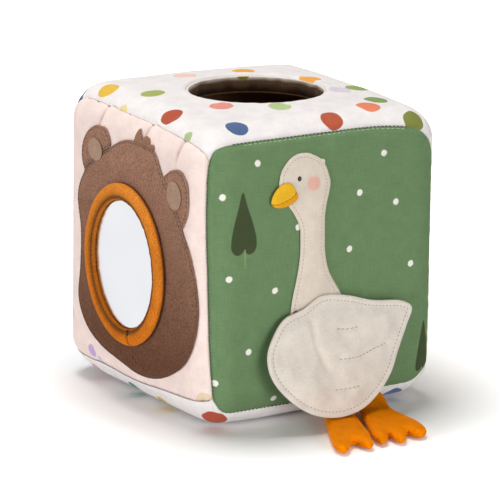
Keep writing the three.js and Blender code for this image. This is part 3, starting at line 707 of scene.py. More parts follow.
def sewing_tree():
    """A line of stitches: each a short thread that dips into the cloth at both its ends."""
    tree = bpy.data.node_groups.new("sewn_line", "GeometryNodeTree")
    face = tree.interface
    face.new_socket("Geometry", in_out="INPUT", socket_type="NodeSocketGeometry")
    for label, value in (("Pitch", 2.4 * MM), ("Length", 1.8 * MM), ("Thickness", 0.2 * MM), ("Turn", 0.0)):
        face.new_socket(label, in_out="INPUT", socket_type="NodeSocketFloat").default_value = value
    face.new_socket("Seed", in_out="INPUT", socket_type="NodeSocketInt").default_value = 1
    face.new_socket("Material", in_out="INPUT", socket_type="NodeSocketMaterial")
    face.new_socket("Geometry", in_out="OUTPUT", socket_type="NodeSocketGeometry")
    given = tree.nodes.new("NodeGroupInput").outputs
    curve = new_node(tree, "GeometryNodeMeshToCurve", {"Mesh": given["Geometry"]}).outputs[0]
    even = new_node(tree, "GeometryNodeResampleCurve", {
        "Curve": curve, "Length": given["Pitch"]}, mode="LENGTH")
    dip = worked(tree, "MULTIPLY", given["Thickness"], -0.8)
    ends = [new_node(tree, "ShaderNodeCombineXYZ", {
        "X": worked(tree, "MULTIPLY", given["Length"], share), "Z": dip}).outputs[0] for share in (-0.5, 0.5)]
    middle = new_node(tree, "ShaderNodeCombineXYZ", {"Z": worked(tree, "MULTIPLY", given["Thickness"], 1.6)})
    bow = new_node(tree, "GeometryNodeCurveQuadraticBezier", {
        "Resolution": 5, "Start": ends[0], "Middle": middle.outputs[0], "End": ends[1]})
    around = new_node(tree, "GeometryNodeCurvePrimitiveCircle", {
        "Resolution": 6, "Radius": given["Thickness"]}, mode="RADIUS")
    thread = new_node(tree, "GeometryNodeCurveToMesh", {
        "Curve": bow.outputs[0], "Profile Curve": around.outputs[0], "Fill Caps": True})
    along = new_node(tree, "GeometryNodeInputTangent").outputs[0]
    facing = new_node(tree, "GeometryNodeInputNamedAttribute", {"Name": "facing"}, data_type="FLOAT_VECTOR")
    turned = new_node(tree, "FunctionNodeAxesToRotation", {0: facing.outputs[0], 1: along},
                      primary_axis="Z", secondary_axis="X").outputs[0]
    skew = new_node(tree, "FunctionNodeRandomValue", {
        2: -0.09, 3: 0.09, "Seed": given["Seed"]}, data_type="FLOAT")
    angle = worked(tree, "ADD", skew.outputs[1], given["Turn"])
    spin = new_node(tree, "FunctionNodeAxisAngleToRotation", {"Axis": (0.0, 0.0, 1.0), "Angle": angle})
    placed = new_node(tree, "FunctionNodeRotateRotation", {
        0: turned, 1: spin.outputs[0]}, rotation_space="LOCAL").outputs[0]
    stitches = new_node(tree, "GeometryNodeInstanceOnPoints", {
        "Points": even.outputs[0], "Instance": thread.outputs[0], "Rotation": placed})
    solid = new_node(tree, "GeometryNodeRealizeInstances", {0: stitches.outputs[0]}).outputs[0]
    dressed = new_node(tree, "GeometryNodeSetMaterial", {0: solid, "Material": given["Material"]}).outputs[0]
    new_node(tree, "NodeGroupOutput", {0: dressed})
    return tree


SEWING = sewing_tree()


def thread_material(name, colour):
    """Twisted sewing thread."""
    material, tree, where = new_material(name)
    ply = noise_field(tree, where, 3.0 / MM, 1.0)
    surface = mix(tree, ply, paint(colour, 0.72), paint(colour))
    finish_material(tree, surface, {"Roughness": 0.6, "Sheen Weight": 0.2})
    return material


def sew(name, body, lines, thread, pitch=2.4, length=1.8, thickness=0.2, turn=0.0, seed=1):
    """Lines of stitches as one piece. A line is (points, facing), in millimetres."""
    points, facing, edges = [], [], []
    for line, outward in lines:
        first = len(points)
        points.extend((line * MM).tolist())
        facing.extend(outward.tolist())
        edges.extend((first + i, first + i + 1) for i in range(len(line) - 1))
    mesh = bpy.data.meshes.new(name + "_path")
    mesh.from_pydata(points, edges, [])
    set_field(mesh, "facing", "FLOAT_VECTOR", facing, "vector")
    path = add_object(name + "_path", mesh)
    modifier = path.modifiers.new("sewing", "NODES")
    modifier.node_group = SEWING
    values = {"Pitch": pitch * MM, "Length": length * MM, "Thickness": thickness * MM, "Turn": turn,
              "Seed": seed, "Material": thread}
    for item in SEWING.interface.items_tree:
        if item.in_out == "INPUT" and item.name in values:
            modifier[item.identifier] = values[item.name]
    sewn = bpy.data.meshes.new_from_object(path.evaluated_get(bpy.context.evaluated_depsgraph_get()))
    bpy.data.objects.remove(path)
    sewn.name = name
    sewn.shade_smooth()
    piece = add_object(name, sewn)
    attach(piece, body)


def face_of(side, ground=MID_HEIGHT):
    """The surface of a panel, as places across it and above the ground, and heights off it."""
    def place(across, height, out):
        return on_panel(side, across, np.asarray(height, float) - ground, out)
    return place


def stitch_line(place, chosen, lift, nudge=0.3):
    """Points and outward directions of a line of stitches over a surface place(x, y, out)."""
    on = place(*chosen.T, lift)
    above = place(*chosen.T, np.asarray(lift) + nudge)
    return on, (above - on) / np.linalg.norm(above - on, axis=1)[:, None]


def seam_stitches(side, edge, first, last, inset, lift=-0.3):
    """A line of stitches at inset inside a panel's top or low seam."""
    along = np.linspace(first, last, 90)
    up = np.interp(along, *side[edge]) - (inset if edge == "high" else -inset)
    return stitch_line(face_of(side, 0), np.stack(panel_place(along, up), axis=1), lift)


UPRIGHT_INSET = 0.9
upright = np.linspace(-58.0, 60.0, 120)
upright = np.stack([np.full(len(upright), UPRIGHT_INSET - HALF_WIDTH), upright], axis=1)
sew("green_topstitch", "box", [
    seam_stitches(GOOSE_SIDE, "high", STITCHED_FROM, STITCHED_TO, TOPSTITCH_INSET, -0.35),
    seam_stitches(GOOSE_SIDE, "low", 14.0, 50.0, TOPSTITCH_INSET, -0.35),
], thread_material("green_thread", "A9C29A"), pitch=2.8, thickness=0.28)
seam_thread = thread_material("seam_thread", "46523C")
sew("low_seam_stitches", "box", [
    seam_stitches(GOOSE_SIDE, "low", -62.0, 13.0, 0.8),
    seam_stitches(GOOSE_SIDE, "high", STITCHED_FROM - 6.0, STITCHED_TO + 2.0, 0.25),
], seam_thread, pitch=2.2, length=1.3, thickness=0.24)
sew("upright_seam_stitches", "box", [stitch_line(face_of(GOOSE_SIDE, 0), upright, -0.25)],
    seam_thread, pitch=2.0, length=1.2, thickness=0.24)

# Bear panel: pale pink cotton with straight seams, gathered in three tucks and small puckers under its
# top seam. Shade is painted darker along each tuck's fold. A few pale spots are printed low on it.
TUCKS = [(-31.0, 1.9, 2.6), (12.0, 2.0, 2.6), (44.0, 2.0, 2.8)]
PUCKERS = [-60.0, -51.5, -43.0, -20.5, -12.0, -3.0, 22.5, 30.0, 36.5, 52.0, 59.5, 65.0]
PINK_SPOTS = [(-38.1, 17.8, 3.4, "C2A6D4"), (-31.6, 13.4, 2.6, "D0BEDC"), (63.5, 15.0, 5.0, "E2CDB0"),
              (-60.0, 33.0, 3.0, "C9BFD6")]
s, t, top_gap, low_gap, side_gap, faces = seamed_panel(BEAR_SIDE, coarse=0.8)
relief = panel_relief(s, t, (top_gap, low_gap, side_gap), 41.0)
for across in PUCKERS:
    relief -= 0.6 * bell((s - across - 0.2 * top_gap) / 1.1) * np.exp(-top_gap / 3.5)
    relief -= 0.5 * bell((s + across - 0.3 * low_gap) / 1.2) * np.exp(-low_gap / 3.5)
# Painted shade: the distance to each tuck's fold, where the pink is printed darker.
painted_fold_shade = np.full(len(s), FAR_OFF)
for across, width, depth in TUCKS:
    lean = across - 0.10 * top_gap
    relief -= depth * bell((s - lean) / width) * np.exp(-top_gap / 9)
    relief += 0.6 * depth * bell((s - lean - 2.0 * width) / (1.5 * width)) * np.exp(-top_gap / 12)
    painted_fold_shade = np.minimum(painted_fold_shade, np.abs(s - lean) - 0.75 + np.maximum(top_gap - 8, 0) / 4)
spot_dots = dots_on(BEAR_SIDE, PINK_SPOTS, MID_HEIGHT)
spots, spot_colour = dot_print(on_panel(BEAR_SIDE, *panel_place(s, t), 0), spot_dots)
pink_cotton = woven("pink_cotton", "F3E0D9", slub=0.04, prints=[
    ("spots", "@spot_colour", 0.5), ("painted_fold_shade", "B0857A", 1.7)])
cover_panel(BEAR_SIDE, "bear_panel", s, t, faces, relief, pink_cotton,
            {"spots": spots, "painted_fold_shade": painted_fold_shade}, {"spot_colour": spot_colour})
# A close row of dark stitches along the low seam, for its overcast thread and also painted shade in the
# seam's gap.
sew("pink_seam_stitches_and_shade", "box", [seam_stitches(BEAR_SIDE, "low", -64.0, 64.0, 0.35)],
    thread_material("pink_seam_thread_and_shade", "8F7468"), pitch=2.3, length=2.0)
line_panel(BEAR_SIDE, "bear_panel", "bear_panel_lining", 51.0)

# Right and back panels: plain cream and blue cotton, sewn as the others. The picture shows neither.
for label, side, colour, slot, seed in (
    ("right_panel", RIGHT_SIDE, "EDE4D3", "cover_cream", 61.0),
    ("back_panel", BACK_SIDE, "8DA9C0", "cover_blue", 71.0),
):
    s, t, *gaps, faces = seamed_panel(side)
    relief = panel_relief(s, t, gaps, seed)
    if side is RIGHT_SIDE:
        relief -= 0.9 * np.exp(-gaps[2] / 6.0) * (s < 0)
    cover_panel(side, label, s, t, faces, relief, woven(label + "_cotton", colour, slub=0.07))
    line_panel(side, label, label + "_lining", seed + 1)

# Top panel: the dotted cotton again, over a foam board, with an oval hand hole. The cotton rolls
# over the hole's edge to a facing that lines it, and reaches down round the side panels' corners.
HOLE_HALF = np.array([35.0, 32.0])
HOLE_CENTRE = np.array([2.0, 0.0])
FACING_THICKNESS = 0.8
ROLL_RADIUS = 2.2
FAR_MARGIN = 99.0
HOLE_STITCH_AT, HOLE_STITCH_WIDTH = 1.19, 0.018
TOP_SEED = 81.0
HOLED_AREA = PANEL_CLOTH ** 2 - math.pi * HOLE_HALF[0] * HOLE_HALF[1] * MM * MM
TOP_DOTS = [
    (-59.6, 42.2, "E3B93A"), (-49.3, 15.0, "A3AE58"), (-60.3, -20.1, "B04A2C"), (-44.7, -57.4, "46618F"),
    (-34.0, -25.5, "E79384"), (-8.8, -39.6, "B4CB8B"), (8.2, -61.7, "B4512F"), (34.6, -53.1, "E8825C"),
    (18.6, 39.1, "EBA63C"), (39.6, 8.8, "F0A93E"), (39.0, -20.1, "DDD3E2"), (-14.8, 41.4, "F2CDC4"),
    (50.9, -17.3, "8FA65A"), (45.3, -43.5, "7F9A52"), (54.5, -70.3, "7C8436"), (-70.0, 70.0, "3E5484"),
    (61.0, 41.0, "B4512F"), (50.0, 62.0, "E3B93A"), (18.0, 64.0, "46618F"), (-14.0, 62.0, "7E8A3A"),
    (-38.0, 62.0, "E79384"), (66.5, 14.0, "46618F"),
]
DOT_RADIUS = 5.9
EDGE_DOTS = [(-70.3, 18.7, "EBDC9A"), (-70.3, -44.6, "A9C08A")]
EDGE_DOT_RADIUS = 3.2


def holed_square(margins, share_count, coarse, fine, border):
    """Rings of cloth lengths from the hole out to the square seam, and each point's hole margin."""
    walk = grid_lines(HALF_WIDTH, coarse, fine, border)
    side = np.stack([walk[:-1], np.full(len(walk) - 1, -walk[-1])], axis=1)
    rim = np.concatenate([quarter_turned(side, quarters) for quarters in range(4)])
    angle = np.arctan2(rim[:, 1] / HOLE_HALF[1], (rim[:, 0] - HOLE_CENTRE[0]) / HOLE_HALF[0])
    ray = np.stack([np.cos(angle), np.sin(angle)], axis=1)
    shares = 1 - (1 - np.linspace(0, 1, share_count + 1)[1:]) ** 1.7
    rings = [HOLE_CENTRE + ray * (HOLE_HALF + margin) for margin in margins]
    rings += [rings[-1] + (rim - rings[-1]) * share for share in shares]
    margin_of = np.repeat(np.append(margins, np.full(share_count, FAR_MARGIN)), len(rim))
    faces = grid_faces(len(rim), len(rings), True)[:, [0, 3, 2, 1]]
    return *np.concatenate(rings).T, margin_of, faces, walk[:-1]


turn = np.linspace(math.pi / 2, 0, 7)
roll_margins = FACING_THICKNESS + ROLL_RADIUS * (1 - np.sin(turn))
flat_margins = roll_margins[-1] + np.array([0.8, 1.8, 3.0, 4.4])
margins = np.concatenate([[FACING_THICKNESS], roll_margins, flat_margins])
s, t, margin, faces, lap = holed_square(margins, 44, 1.1, 0.42, BORDER)
around_count = 4 * len(lap)
near_hole = np.hypot((s - HOLE_CENTRE[0]) / HOLE_HALF[0], t / HOLE_HALF[1])
rim_relief = round_rumple(np.arctan2(t, s - HOLE_CENTRE[0]), 9, 3.3)
relief = white_relief(s, t, "high", TOP_SEED) * soft_step((near_hole - 1.05) / 0.3)
relief += 0.4 * rim_relief * np.exp(-np.maximum(near_hole - 1, 0) * 7)
relief -= 0.35 * bell((near_hole - HOLE_STITCH_AT) / HOLE_STITCH_WIDTH)
rolled = np.concatenate([[-ROLL_RADIUS - 1.2], ROLL_RADIUS * (np.cos(turn) - 1)])
relief[:len(rolled) * around_count] += np.repeat(rolled, around_count)
a, b = panel_place(s, t, HALF_WIDTH)
top_dots = [(x, y, DOT_RADIUS, ink) for x, y, ink in TOP_DOTS]
top_dots += [(x, y, EDGE_DOT_RADIUS, ink) for x, y, ink in EDGE_DOTS]
dotted_cover("top", on_panel(TOP_SIDE, a, b, relief),
             on_panel(TOP_SIDE, a, b, np.minimum(relief, 0) - COVER_THICKNESS * np.where(margin < 3, 0.2, 1)),
             np.stack([s, t], axis=1), faces, np.arange(len(s) - around_count, len(s)), lap, "high", TOP_SEED,
             dots_on(TOP_SIDE, top_dots), area=HOLED_AREA)
for name, node, depth, thickness, material, slot, start_margin, seed in (
    ("top_foam_board", "top_foam", FOAM_DEPTH, FOAM_THICKNESS - 0.2, foam, "foam", 1.4, 91.0),
    ("top_lining_cloth", "top_lining", LINING_DEPTH, LINING_THICKNESS, lining_cotton, "lining", 0.55, 92.0),
):
    s, t, _, faces, _ = holed_square([start_margin, start_margin + 2], 14, 3.0, 1.5, 12.0)
    top = -depth - 0.15 * (1 + rumple(s / 20, t / 20, seed))
    outer, inner = [on_panel(TOP_SIDE, *panel_place(s, t, HALF_WIDTH), out) for out in (top, top - thickness)]
    piece = closed_cloth(name, outer, inner, faces, np.stack([s, t], axis=1))
    dress(piece, material, "box", node)

FACING_STEPS = 300
FACING_ROWS = 16
FACING_TOP = -1.5
FACING_LOW = -LINING_DEPTH - 0.2
FACING_CREAM = 2.6
FACING_DEEP_SHADE_DROP = 4.4
FACING_DOT = (13.0, 30.8, 3.6, "8C7E2C")
step, fall = [v.ravel() for v in np.meshgrid(np.arange(FACING_STEPS), np.linspace(0, 1, FACING_ROWS))]
angle = 2 * math.pi / FACING_STEPS * step
ray = np.stack([np.cos(angle), np.sin(angle)], axis=1)
crease = round_rumple(angle, 6, fall * 1.5)
bulge = 0.5 * np.sin(math.pi * fall) * (0.6 + crease)
height = FACING_TOP + (FACING_LOW - FACING_TOP) * fall
layers = [on_panel(TOP_SIDE, *(HOLE_CENTRE + ray * (HOLE_HALF + shift[:, None])).T, height)
          for shift in (-0.05 - bulge, FACING_THICKNESS - bulge)]
facing_dot = dots_on(TOP_SIDE, [FACING_DOT], out=0.2)
dots, dot_colour = dot_print(layers[0], facing_dot)
# Painted shade: below its cream rim the facing is painted dark brown, and near black further down, for the
# shade inside the hole.
below = FACING_CREAM + 0.5 * crease + height
facing = closed_cloth("hole_facing_cloth", *layers, grid_faces(FACING_STEPS, FACING_ROWS, True),
                      np.stack([step * 0.7, fall * 9], axis=1),
                      {"dots": dots, "below": below, "deep": below + FACING_DEEP_SHADE_DROP + 1.6 * crease},
                      {"dot_colour": dot_colour})
# Painted shade: the two brown prints darken the facing below its rim; the dot is a real print.
facing_cotton = woven("facing_cotton", "EFE6DA", slub=0.05, prints=[
    ("below", "5B3C22", 1.4), ("deep", "23150B", 2.4), ("dots", "@dot_colour", 0.3)])
dress(facing, facing_cotton, "box", "hole_facing")

# Bear head, two ears, two lighter inner ears and a hair tuft: cut from short plush, laid on the pink
# panel and sewn down just inside their edges. The ears and the tuft end where the head begins.
APPLIQUE_LIFT = 0.3
BEAR_THICKNESS = 1.2
INNER_EAR_THICKNESS = 0.5
OVER_BEAR = APPLIQUE_LIFT + BEAR_THICKNESS + 0.3
HEAD_CLEARANCE = 0.12
BEAR_SEAM = 1.15
HEAD_OUTLINE = [
    (-17.8, 129), (-31, 121), (-43, 111.6), (-50.2, 98), (-46.8, 80), (-47.2, 62), (-49.1, 43), (-41, 31),
    (-26.8, 24), (-7, 20.3), (12, 18), (30, 21), (43, 27), (53, 34.5), (59.6, 45.5), (63.4, 60), (62.8, 74.5),
    (58, 93), (50, 106), (41, 117), (31.7, 126), (24, 135.4), (14, 136.6), (2, 136.6), (-8, 134.2),
]
NEAR_EAR_OUTLINE = [
    (51.9, 103), (55.6, 107.7), (57.6, 113.5), (57.6, 120), (55.8, 127.6), (50, 131.7), (44, 131.3),
    (38, 128.7), (33, 124), (34, 114), (43, 104),
]
FAR_EAR_OUTLINE = [
    (-18.2, 128), (-19.6, 133.3), (-23.6, 136.7), (-30, 137.1), (-37.2, 134.8), (-42.6, 130.5), (-46, 124.6),
    (-46.6, 118), (-43, 111), (-33, 109), (-22, 116),
]
INNER_EARS = [("near", (46.0, 118.7), 7.2, 7.1, 109.0), ("far", (-31.6, 124.6), 7.0, 5.7, 111.0)]
TUFT_OUTLINE = [
    (22.5, 132), (22.8, 138), (20.8, 138.6), (18.9, 138.3), (18, 140.6), (15.6, 141.9), (13, 141.2),
    (11.6, 138.6), (9.2, 141.2), (6.3, 144.3), (4.6, 140.5), (4, 136), (4, 132),
]


def oval(centre, half_across, half_up, spacing):
    angle = np.linspace(0, 2 * math.pi, int(2 * math.pi * half_across / spacing), endpoint=False)
    return np.stack([centre[0] + half_across * np.cos(angle), centre[1] + half_up * np.sin(angle)], axis=1)


def inset(outline, depth):
    """The line that runs depth inside a closed line."""
    after = np.roll(outline, -1, axis=0)
    area = np.sum(outline[:, 0] * after[:, 1] - after[:, 0] * outline[:, 1])
    run = after - np.roll(outline, 1, axis=0)
    run /= np.linalg.norm(run, axis=1)[:, None]
    moved = outline + np.stack([-run[:, 1], run[:, 0]], axis=1) * np.sign(area) * depth
    return moved[edge_distance(moved, outline) > 0.93 * depth]


def twice_area(flat, triangles):
    a, b, c = [flat[triangles[:, k]] for k in range(3)]
    return (b[:, 0] - a[:, 0]) * (c[:, 1] - a[:, 1]) - (b[:, 1] - a[:, 1]) * (c[:, 0] - a[:, 0])


def cut_piece(outline, coarse, rings):
    """A flat piece of cloth inside an outline: its points, triangles and distances to the edge."""
    low, high = outline.min(0), outline.max(0)
    row = np.arange(low[0], high[0], coarse)
    cloud = np.concatenate([np.stack([row + (k % 2) * coarse / 2, np.full(len(row), y)], axis=1)
                            for k, y in enumerate(np.arange(low[1], high[1], coarse * 0.866))])
    cloud = cloud[outline_distance(cloud, outline) < -(rings[-1] + 0.55 * coarse)]
    points = np.concatenate([outline] + [inset(outline, depth) for depth in rings] + [cloud])
    edges = [(i, (i + 1) % len(outline)) for i in range(len(outline))]
    flat, _, triangles, *_ = geometry.delaunay_2d_cdt([Vector(p) for p in points], edges, [], 1, 1e-6)
    flat = np.array([tuple(p) for p in flat])
    triangles = np.array([tuple(f) for f in triangles])
    clockwise = twice_area(flat, triangles) < 0
    triangles[clockwise] = triangles[clockwise][:, ::-1]
    return flat, triangles, edge_distance(flat, outline)


def puffed(edge, width):
    """A rounded edge: 0 at the edge, 1 from width inward."""
    return np.sqrt(np.maximum(1 - (1 - np.clip(edge / width, 0, 1)) ** 2, 0))


def laid_piece(name, node, body, place, cut, top, bottom, material, values=None):
    """A cloth piece between two heights over a surface place(x, y, out)."""
    flat, triangles, _ = cut
    piece = closed_cloth(name, place(*flat.T, top), place(*flat.T, bottom), triangles, flat, values)
    dress(piece, material, body, node)


def plush(name, low_painted_shade_colour, high_painted_light_colour, pile=0.5, mottle=0.16, painted_crease_shade=None, sheen=0.3):
    """Short plush, its colour painted lighter towards its top as light falls from above, and darker where a
    named value paints shade into its creases.
    """
    material, tree, where = new_material(name)
    tufts = noise_field(tree, where, 1 / (pile * 2.2 * MM), 4.0)
    grain = worked(tree, "ADD", tufts, noise_field(tree, where, 1 / (pile * 0.7 * MM)))
    pale = graded(tree, grain, 0.75, 1.25, 1 - 1.5 * mottle, 1 + 1.3 * mottle)
    clouds = graded(tree, noise_field(tree, where, 1 / (9 * MM), 3.0), 0.3, 0.7, 0.9, 1.08)
    shade = worked(tree, "MULTIPLY", clouds, pale)
    height = new_node(tree, "ShaderNodeSeparateXYZ", {0: where}).outputs["Z"]
    # Painted light: the colour runs from a darker low colour to a lighter high one with height.
    surface = mix(tree, graded(tree, height, 30 * MM, 125 * MM), paint(low_painted_shade_colour), paint(high_painted_light_colour))
    # Painted shade: a named value darkens the colour where shade falls in creases.
    if painted_crease_shade:
        shade = worked(tree, "MULTIPLY", shade, attribute(tree, painted_crease_shade))
    finish_material(tree, scaled(tree, surface, shade), {
        "Roughness": 0.95, "Sheen Weight": sheen, "Sheen Roughness": 0.45, "Sheen Tint": paint(high_painted_light_colour),
        "Specular IOR Level": 0.06}, grain, 0.9, 0.32)
    return material


def free_edge(points, outline, neighbours, reach=0.9):
    """Distance of points from the parts of an outline where no neighbour lies beside it."""
    dense = np.concatenate([outline + (np.roll(outline, -1, axis=0) - outline) * k / 4 for k in range(4)])
    for other in neighbours:
        dense = dense[np.abs(outline_distance(dense, other)) > reach]
    return np.concatenate([np.linalg.norm(points[k:k + 500, None] - dense[None], axis=2).min(1)
                           for k in range(0, len(points), 500)])


on_pink = face_of(BEAR_SIDE)


def plush_piece(node, outline, coarse, seam, lift, thickness, material, seed, beside=()):
    """A piece of plush laid on the pink panel, its edge wavy and its seam sunk."""
    uneven = np.stack([rumple(*outline.T / 1.3, seed), rumple(*outline.T / 1.3, seed + 4)], axis=1)
    wavy = outline + 0.14 * uneven
    cut = cut_piece(wavy, coarse, [r for r in (0.35, 0.8, 1.4, 2.1, 2.8) if r < seam + 1.2])
    flat, _, edge = cut
    puff = puffed(free_edge(flat, wavy, beside) if beside else edge, 1.5)
    top = lift + thickness * (0.3 + 0.7 * puff) * (1 - 0.42 * bell((edge - seam) / 0.6))
    top += 0.12 * rumple(*flat.T / 9, seed + 8) * soft_step(edge / 6)
    bottom = lift + 0.25 * thickness * (1 - puffed(edge, 0.8))
    name = node.replace("hair_", "") + "_plush"
    laid_piece(name, node, "box", on_pink, cut, top, bottom, material)


def outside_of(line, other):
    """The part of a closed line's shape that lies outside another closed line, a little clear of it."""
    out = outline_distance(line, other) > HEAD_CLEARANCE
    start = next(i for i in range(len(line)) if out[i] and not out[i - 1])
    kept = np.roll(line, -start, axis=0)[:np.argmin(np.roll(out, -start))]
    first, last = [np.argmin(((other - end) ** 2).sum(1)) for end in (kept[0], kept[-1])]
    count = len(other)
    ahead = other[(last + np.arange((first - last) % count + 1)) % count]
    behind = other[(last - np.arange((last - first) % count + 1)) % count]
    join = ahead if len(ahead) < len(behind) else behind
    outward = join - other.mean(0)
    join = join + outward / np.linalg.norm(outward, axis=1)[:, None] * HEAD_CLEARANCE
    return np.concatenate([kept, join[1:-1]])


def closed_stitches(place, outline, depth, lift):
    line = inset(outline, depth)
    return stitch_line(place, np.concatenate([line, line[:1]]), lift)


# The plush colours are painted darker low and lighter high, as light falls from above.
bear_plush = plush("bear_plush", "664534", "9D7763", pile=0.42, mottle=0.3)
inner_plush = plush("inner_ear_plush", "A08270", "A98C78", pile=0.4, mottle=0.14)
head_line = smooth_line(HEAD_OUTLINE, 0.8)
near_ear, far_ear = smooth_line(NEAR_EAR_OUTLINE, 0.8), smooth_line(FAR_EAR_OUTLINE, 0.8)
near_cut, far_cut = outside_of(near_ear, head_line), outside_of(far_ear, head_line)
for node, line, coarse, seed, beside in (
    ("bear_head", head_line, 1.6, 101.0, [near_ear, far_ear]),
    ("bear_ear_near", near_cut, 1.4, 103.0, [head_line]),
    ("bear_ear_far", far_cut, 1.4, 105.0, [head_line]),
):
    plush_piece(node, line, coarse, BEAR_SEAM, APPLIQUE_LIFT, BEAR_THICKNESS, bear_plush, seed,
                beside)
plush_piece("bear_hair_tuft", outside_of(smooth_line(TUFT_OUTLINE, 0.5), head_line), 1.0, 1.2, APPLIQUE_LIFT,
            BEAR_THICKNESS, plush("tuft_plush", "866555", "946F59"), 107.0, [head_line])
for ear, centre, half_across, half_up, seed in INNER_EARS:
    plush_piece(f"bear_inner_ear_{ear}", oval(centre, half_across, half_up, 0.6), 1.2, 1.0, OVER_BEAR,
                INNER_EAR_THICKNESS, inner_plush, seed)
sew("bear_stitches", "box", [closed_stitches(on_pink, line, BEAR_SEAM, APPLIQUE_LIFT + 0.8)
                             for line in (head_line, near_cut, far_cut)],
    thread_material("bear_thread", "453026"), pitch=2.3, length=1.3, thickness=0.22, seed=3)

# Mirror: a silvery film on a soft backing, held by a flattened, stuffed ring of orange velour that is
# sewn down along its inner edge. The ring's two ends meet in a pinched seam low on the face.
MIRROR_CENTRE = (1.6, 73.4)
RING_HALF_ACROSS = 33.0
RING_HALF_UP = 36.8
RING_BAND_HALF = 4.3
RING_RISE = 2.1
RING_LIFT = OVER_BEAR + RING_RISE
RING_JOIN = math.radians(-78)
RING_TURNS = 420
BAND_TURNS = 44
FILM_INSET = 4.4
FILM_SHADES = ((0.82, 0.835, 0.87, 1.0), (0.90, 0.905, 0.93, 1.0))
FILM_ROUGHNESS = 0.22
BACKING_THICKNESS = 0.7
FILM_LIFT = OVER_BEAR + BACKING_THICKNESS + 0.3
FILM_THICKNESS = 0.4
STITCH_ROLL = math.radians(121)
STITCH_DENT = 0.8


def oval_line(turned, margin):
    """Places on an oval round the mirror, margin outside the middle of the ring."""
    across, up = np.cos(turned) / RING_HALF_ACROSS, np.sin(turned) / RING_HALF_UP
    length = np.hypot(across, up)
    return np.stack([MIRROR_CENTRE[0] + RING_HALF_ACROSS * np.cos(turned) + margin * across / length,
                     MIRROR_CENTRE[1] + RING_HALF_UP * np.sin(turned) + margin * up / length], axis=-1)


film_line = oval_line(np.linspace(0, 2 * math.pi, 170, endpoint=False), -FILM_INSET)
backing_cut = cut_piece(film_line, 2.5, [0.6, 1.5])
laid_piece("mirror_backing_pad", "mirror_backing", "box", on_pink, backing_cut,
           OVER_BEAR + BACKING_THICKNESS * (0.5 + 0.5 * puffed(backing_cut[2], 1.2)), OVER_BEAR,
           woven("backing_cotton", "D8CFC4", slub=0.05))
mirror_film, tree, where = new_material("mirror_film")
haze = noise_field(tree, where, 1 / (26 * MM), 1.0)
tint = mix(tree, haze, *FILM_SHADES)
finish_material(tree, tint, {"Metallic": 1.0, "Roughness": FILM_ROUGHNESS}, haze, 0.25, 0.3)
flat, _, edge = film_cut = cut_piece(film_line, 1.5, [0.5, 1.2])
under = FILM_LIFT + 0.10 * rumple(*flat.T / 14, 121.0) * soft_step(edge / 5)
laid_piece("mirror_film_disc", "mirror_film", "box", on_pink, film_cut, under + FILM_THICKNESS, under,
           mirror_film)

around, roll = [v.ravel() for v in np.meshgrid(*[
    np.linspace(0, 2 * math.pi, turns, endpoint=False) for turns in (RING_TURNS, BAND_TURNS)])]
from_join = (around - RING_JOIN + math.pi) % (2 * math.pi) - math.pi
gather = round_rumple(around, 15, np.cos(roll) * 0.7)
swell = 1 + 0.05 * round_rumple(around, 2.6, 5.5) + 0.11 * gather * (0.25 + np.clip(0.3 - np.cos(roll), 0, 1))
swell += 0.10 * bell((np.abs(from_join) - 0.07) / 0.045) - 0.30 * bell(from_join / 0.02)
from_seam = (roll - STITCH_ROLL) / 0.28
full = np.abs(np.cos(roll)) ** 0.85 * np.sign(np.cos(roll))
flat = oval_line(around, RING_BAND_HALF * full * (1 + 0.3 * (swell - 1)))
outward = RING_LIFT + (RING_RISE * swell + 0.25) * np.sin(roll) - STITCH_DENT * bell(from_seam)
ring_points = on_pink(*flat.T, np.maximum(outward, OVER_BEAR - 0.2))
mesh = bpy.data.meshes.new("mirror_ring_velour")
faces = grid_faces(RING_TURNS, BAND_TURNS, True, True)[:, ::-1]
mesh.from_pydata((ring_points * MM).tolist(), [], faces.tolist())
mesh.shade_smooth()
# Painted shade: the velour is darkened in its stitched groove, over the inner flank beyond it, and in the
# pinched join.
set_field(mesh, "painted_groove_shade", "FLOAT", 1 - 0.66 * bell(from_seam / 1.25) - 0.34 * soft_step(from_seam)
          - 0.5 * bell(from_join / 0.03))
ring_velour = plush("ring_velour", "CE7119", "E08A34", pile=0.35, mottle=0.24, painted_crease_shade="painted_groove_shade", sheen=0.5)
ring = dress(add_object("mirror_ring_velour", mesh), ring_velour, "box", "mirror_ring")
seam_place = oval_line(np.linspace(0, 2 * math.pi, 500), -RING_BAND_HALF * abs(math.cos(STITCH_ROLL)) ** 0.85)
seam_lift = RING_LIFT + RING_RISE * math.sin(STITCH_ROLL) - STITCH_DENT + 0.35
sew("ring_stitches", "box", [stitch_line(on_pink, seam_place, seam_lift)],
    thread_material("ring_thread", "4A2008"), pitch=2.2, length=1.3, thickness=0.22, seed=5)

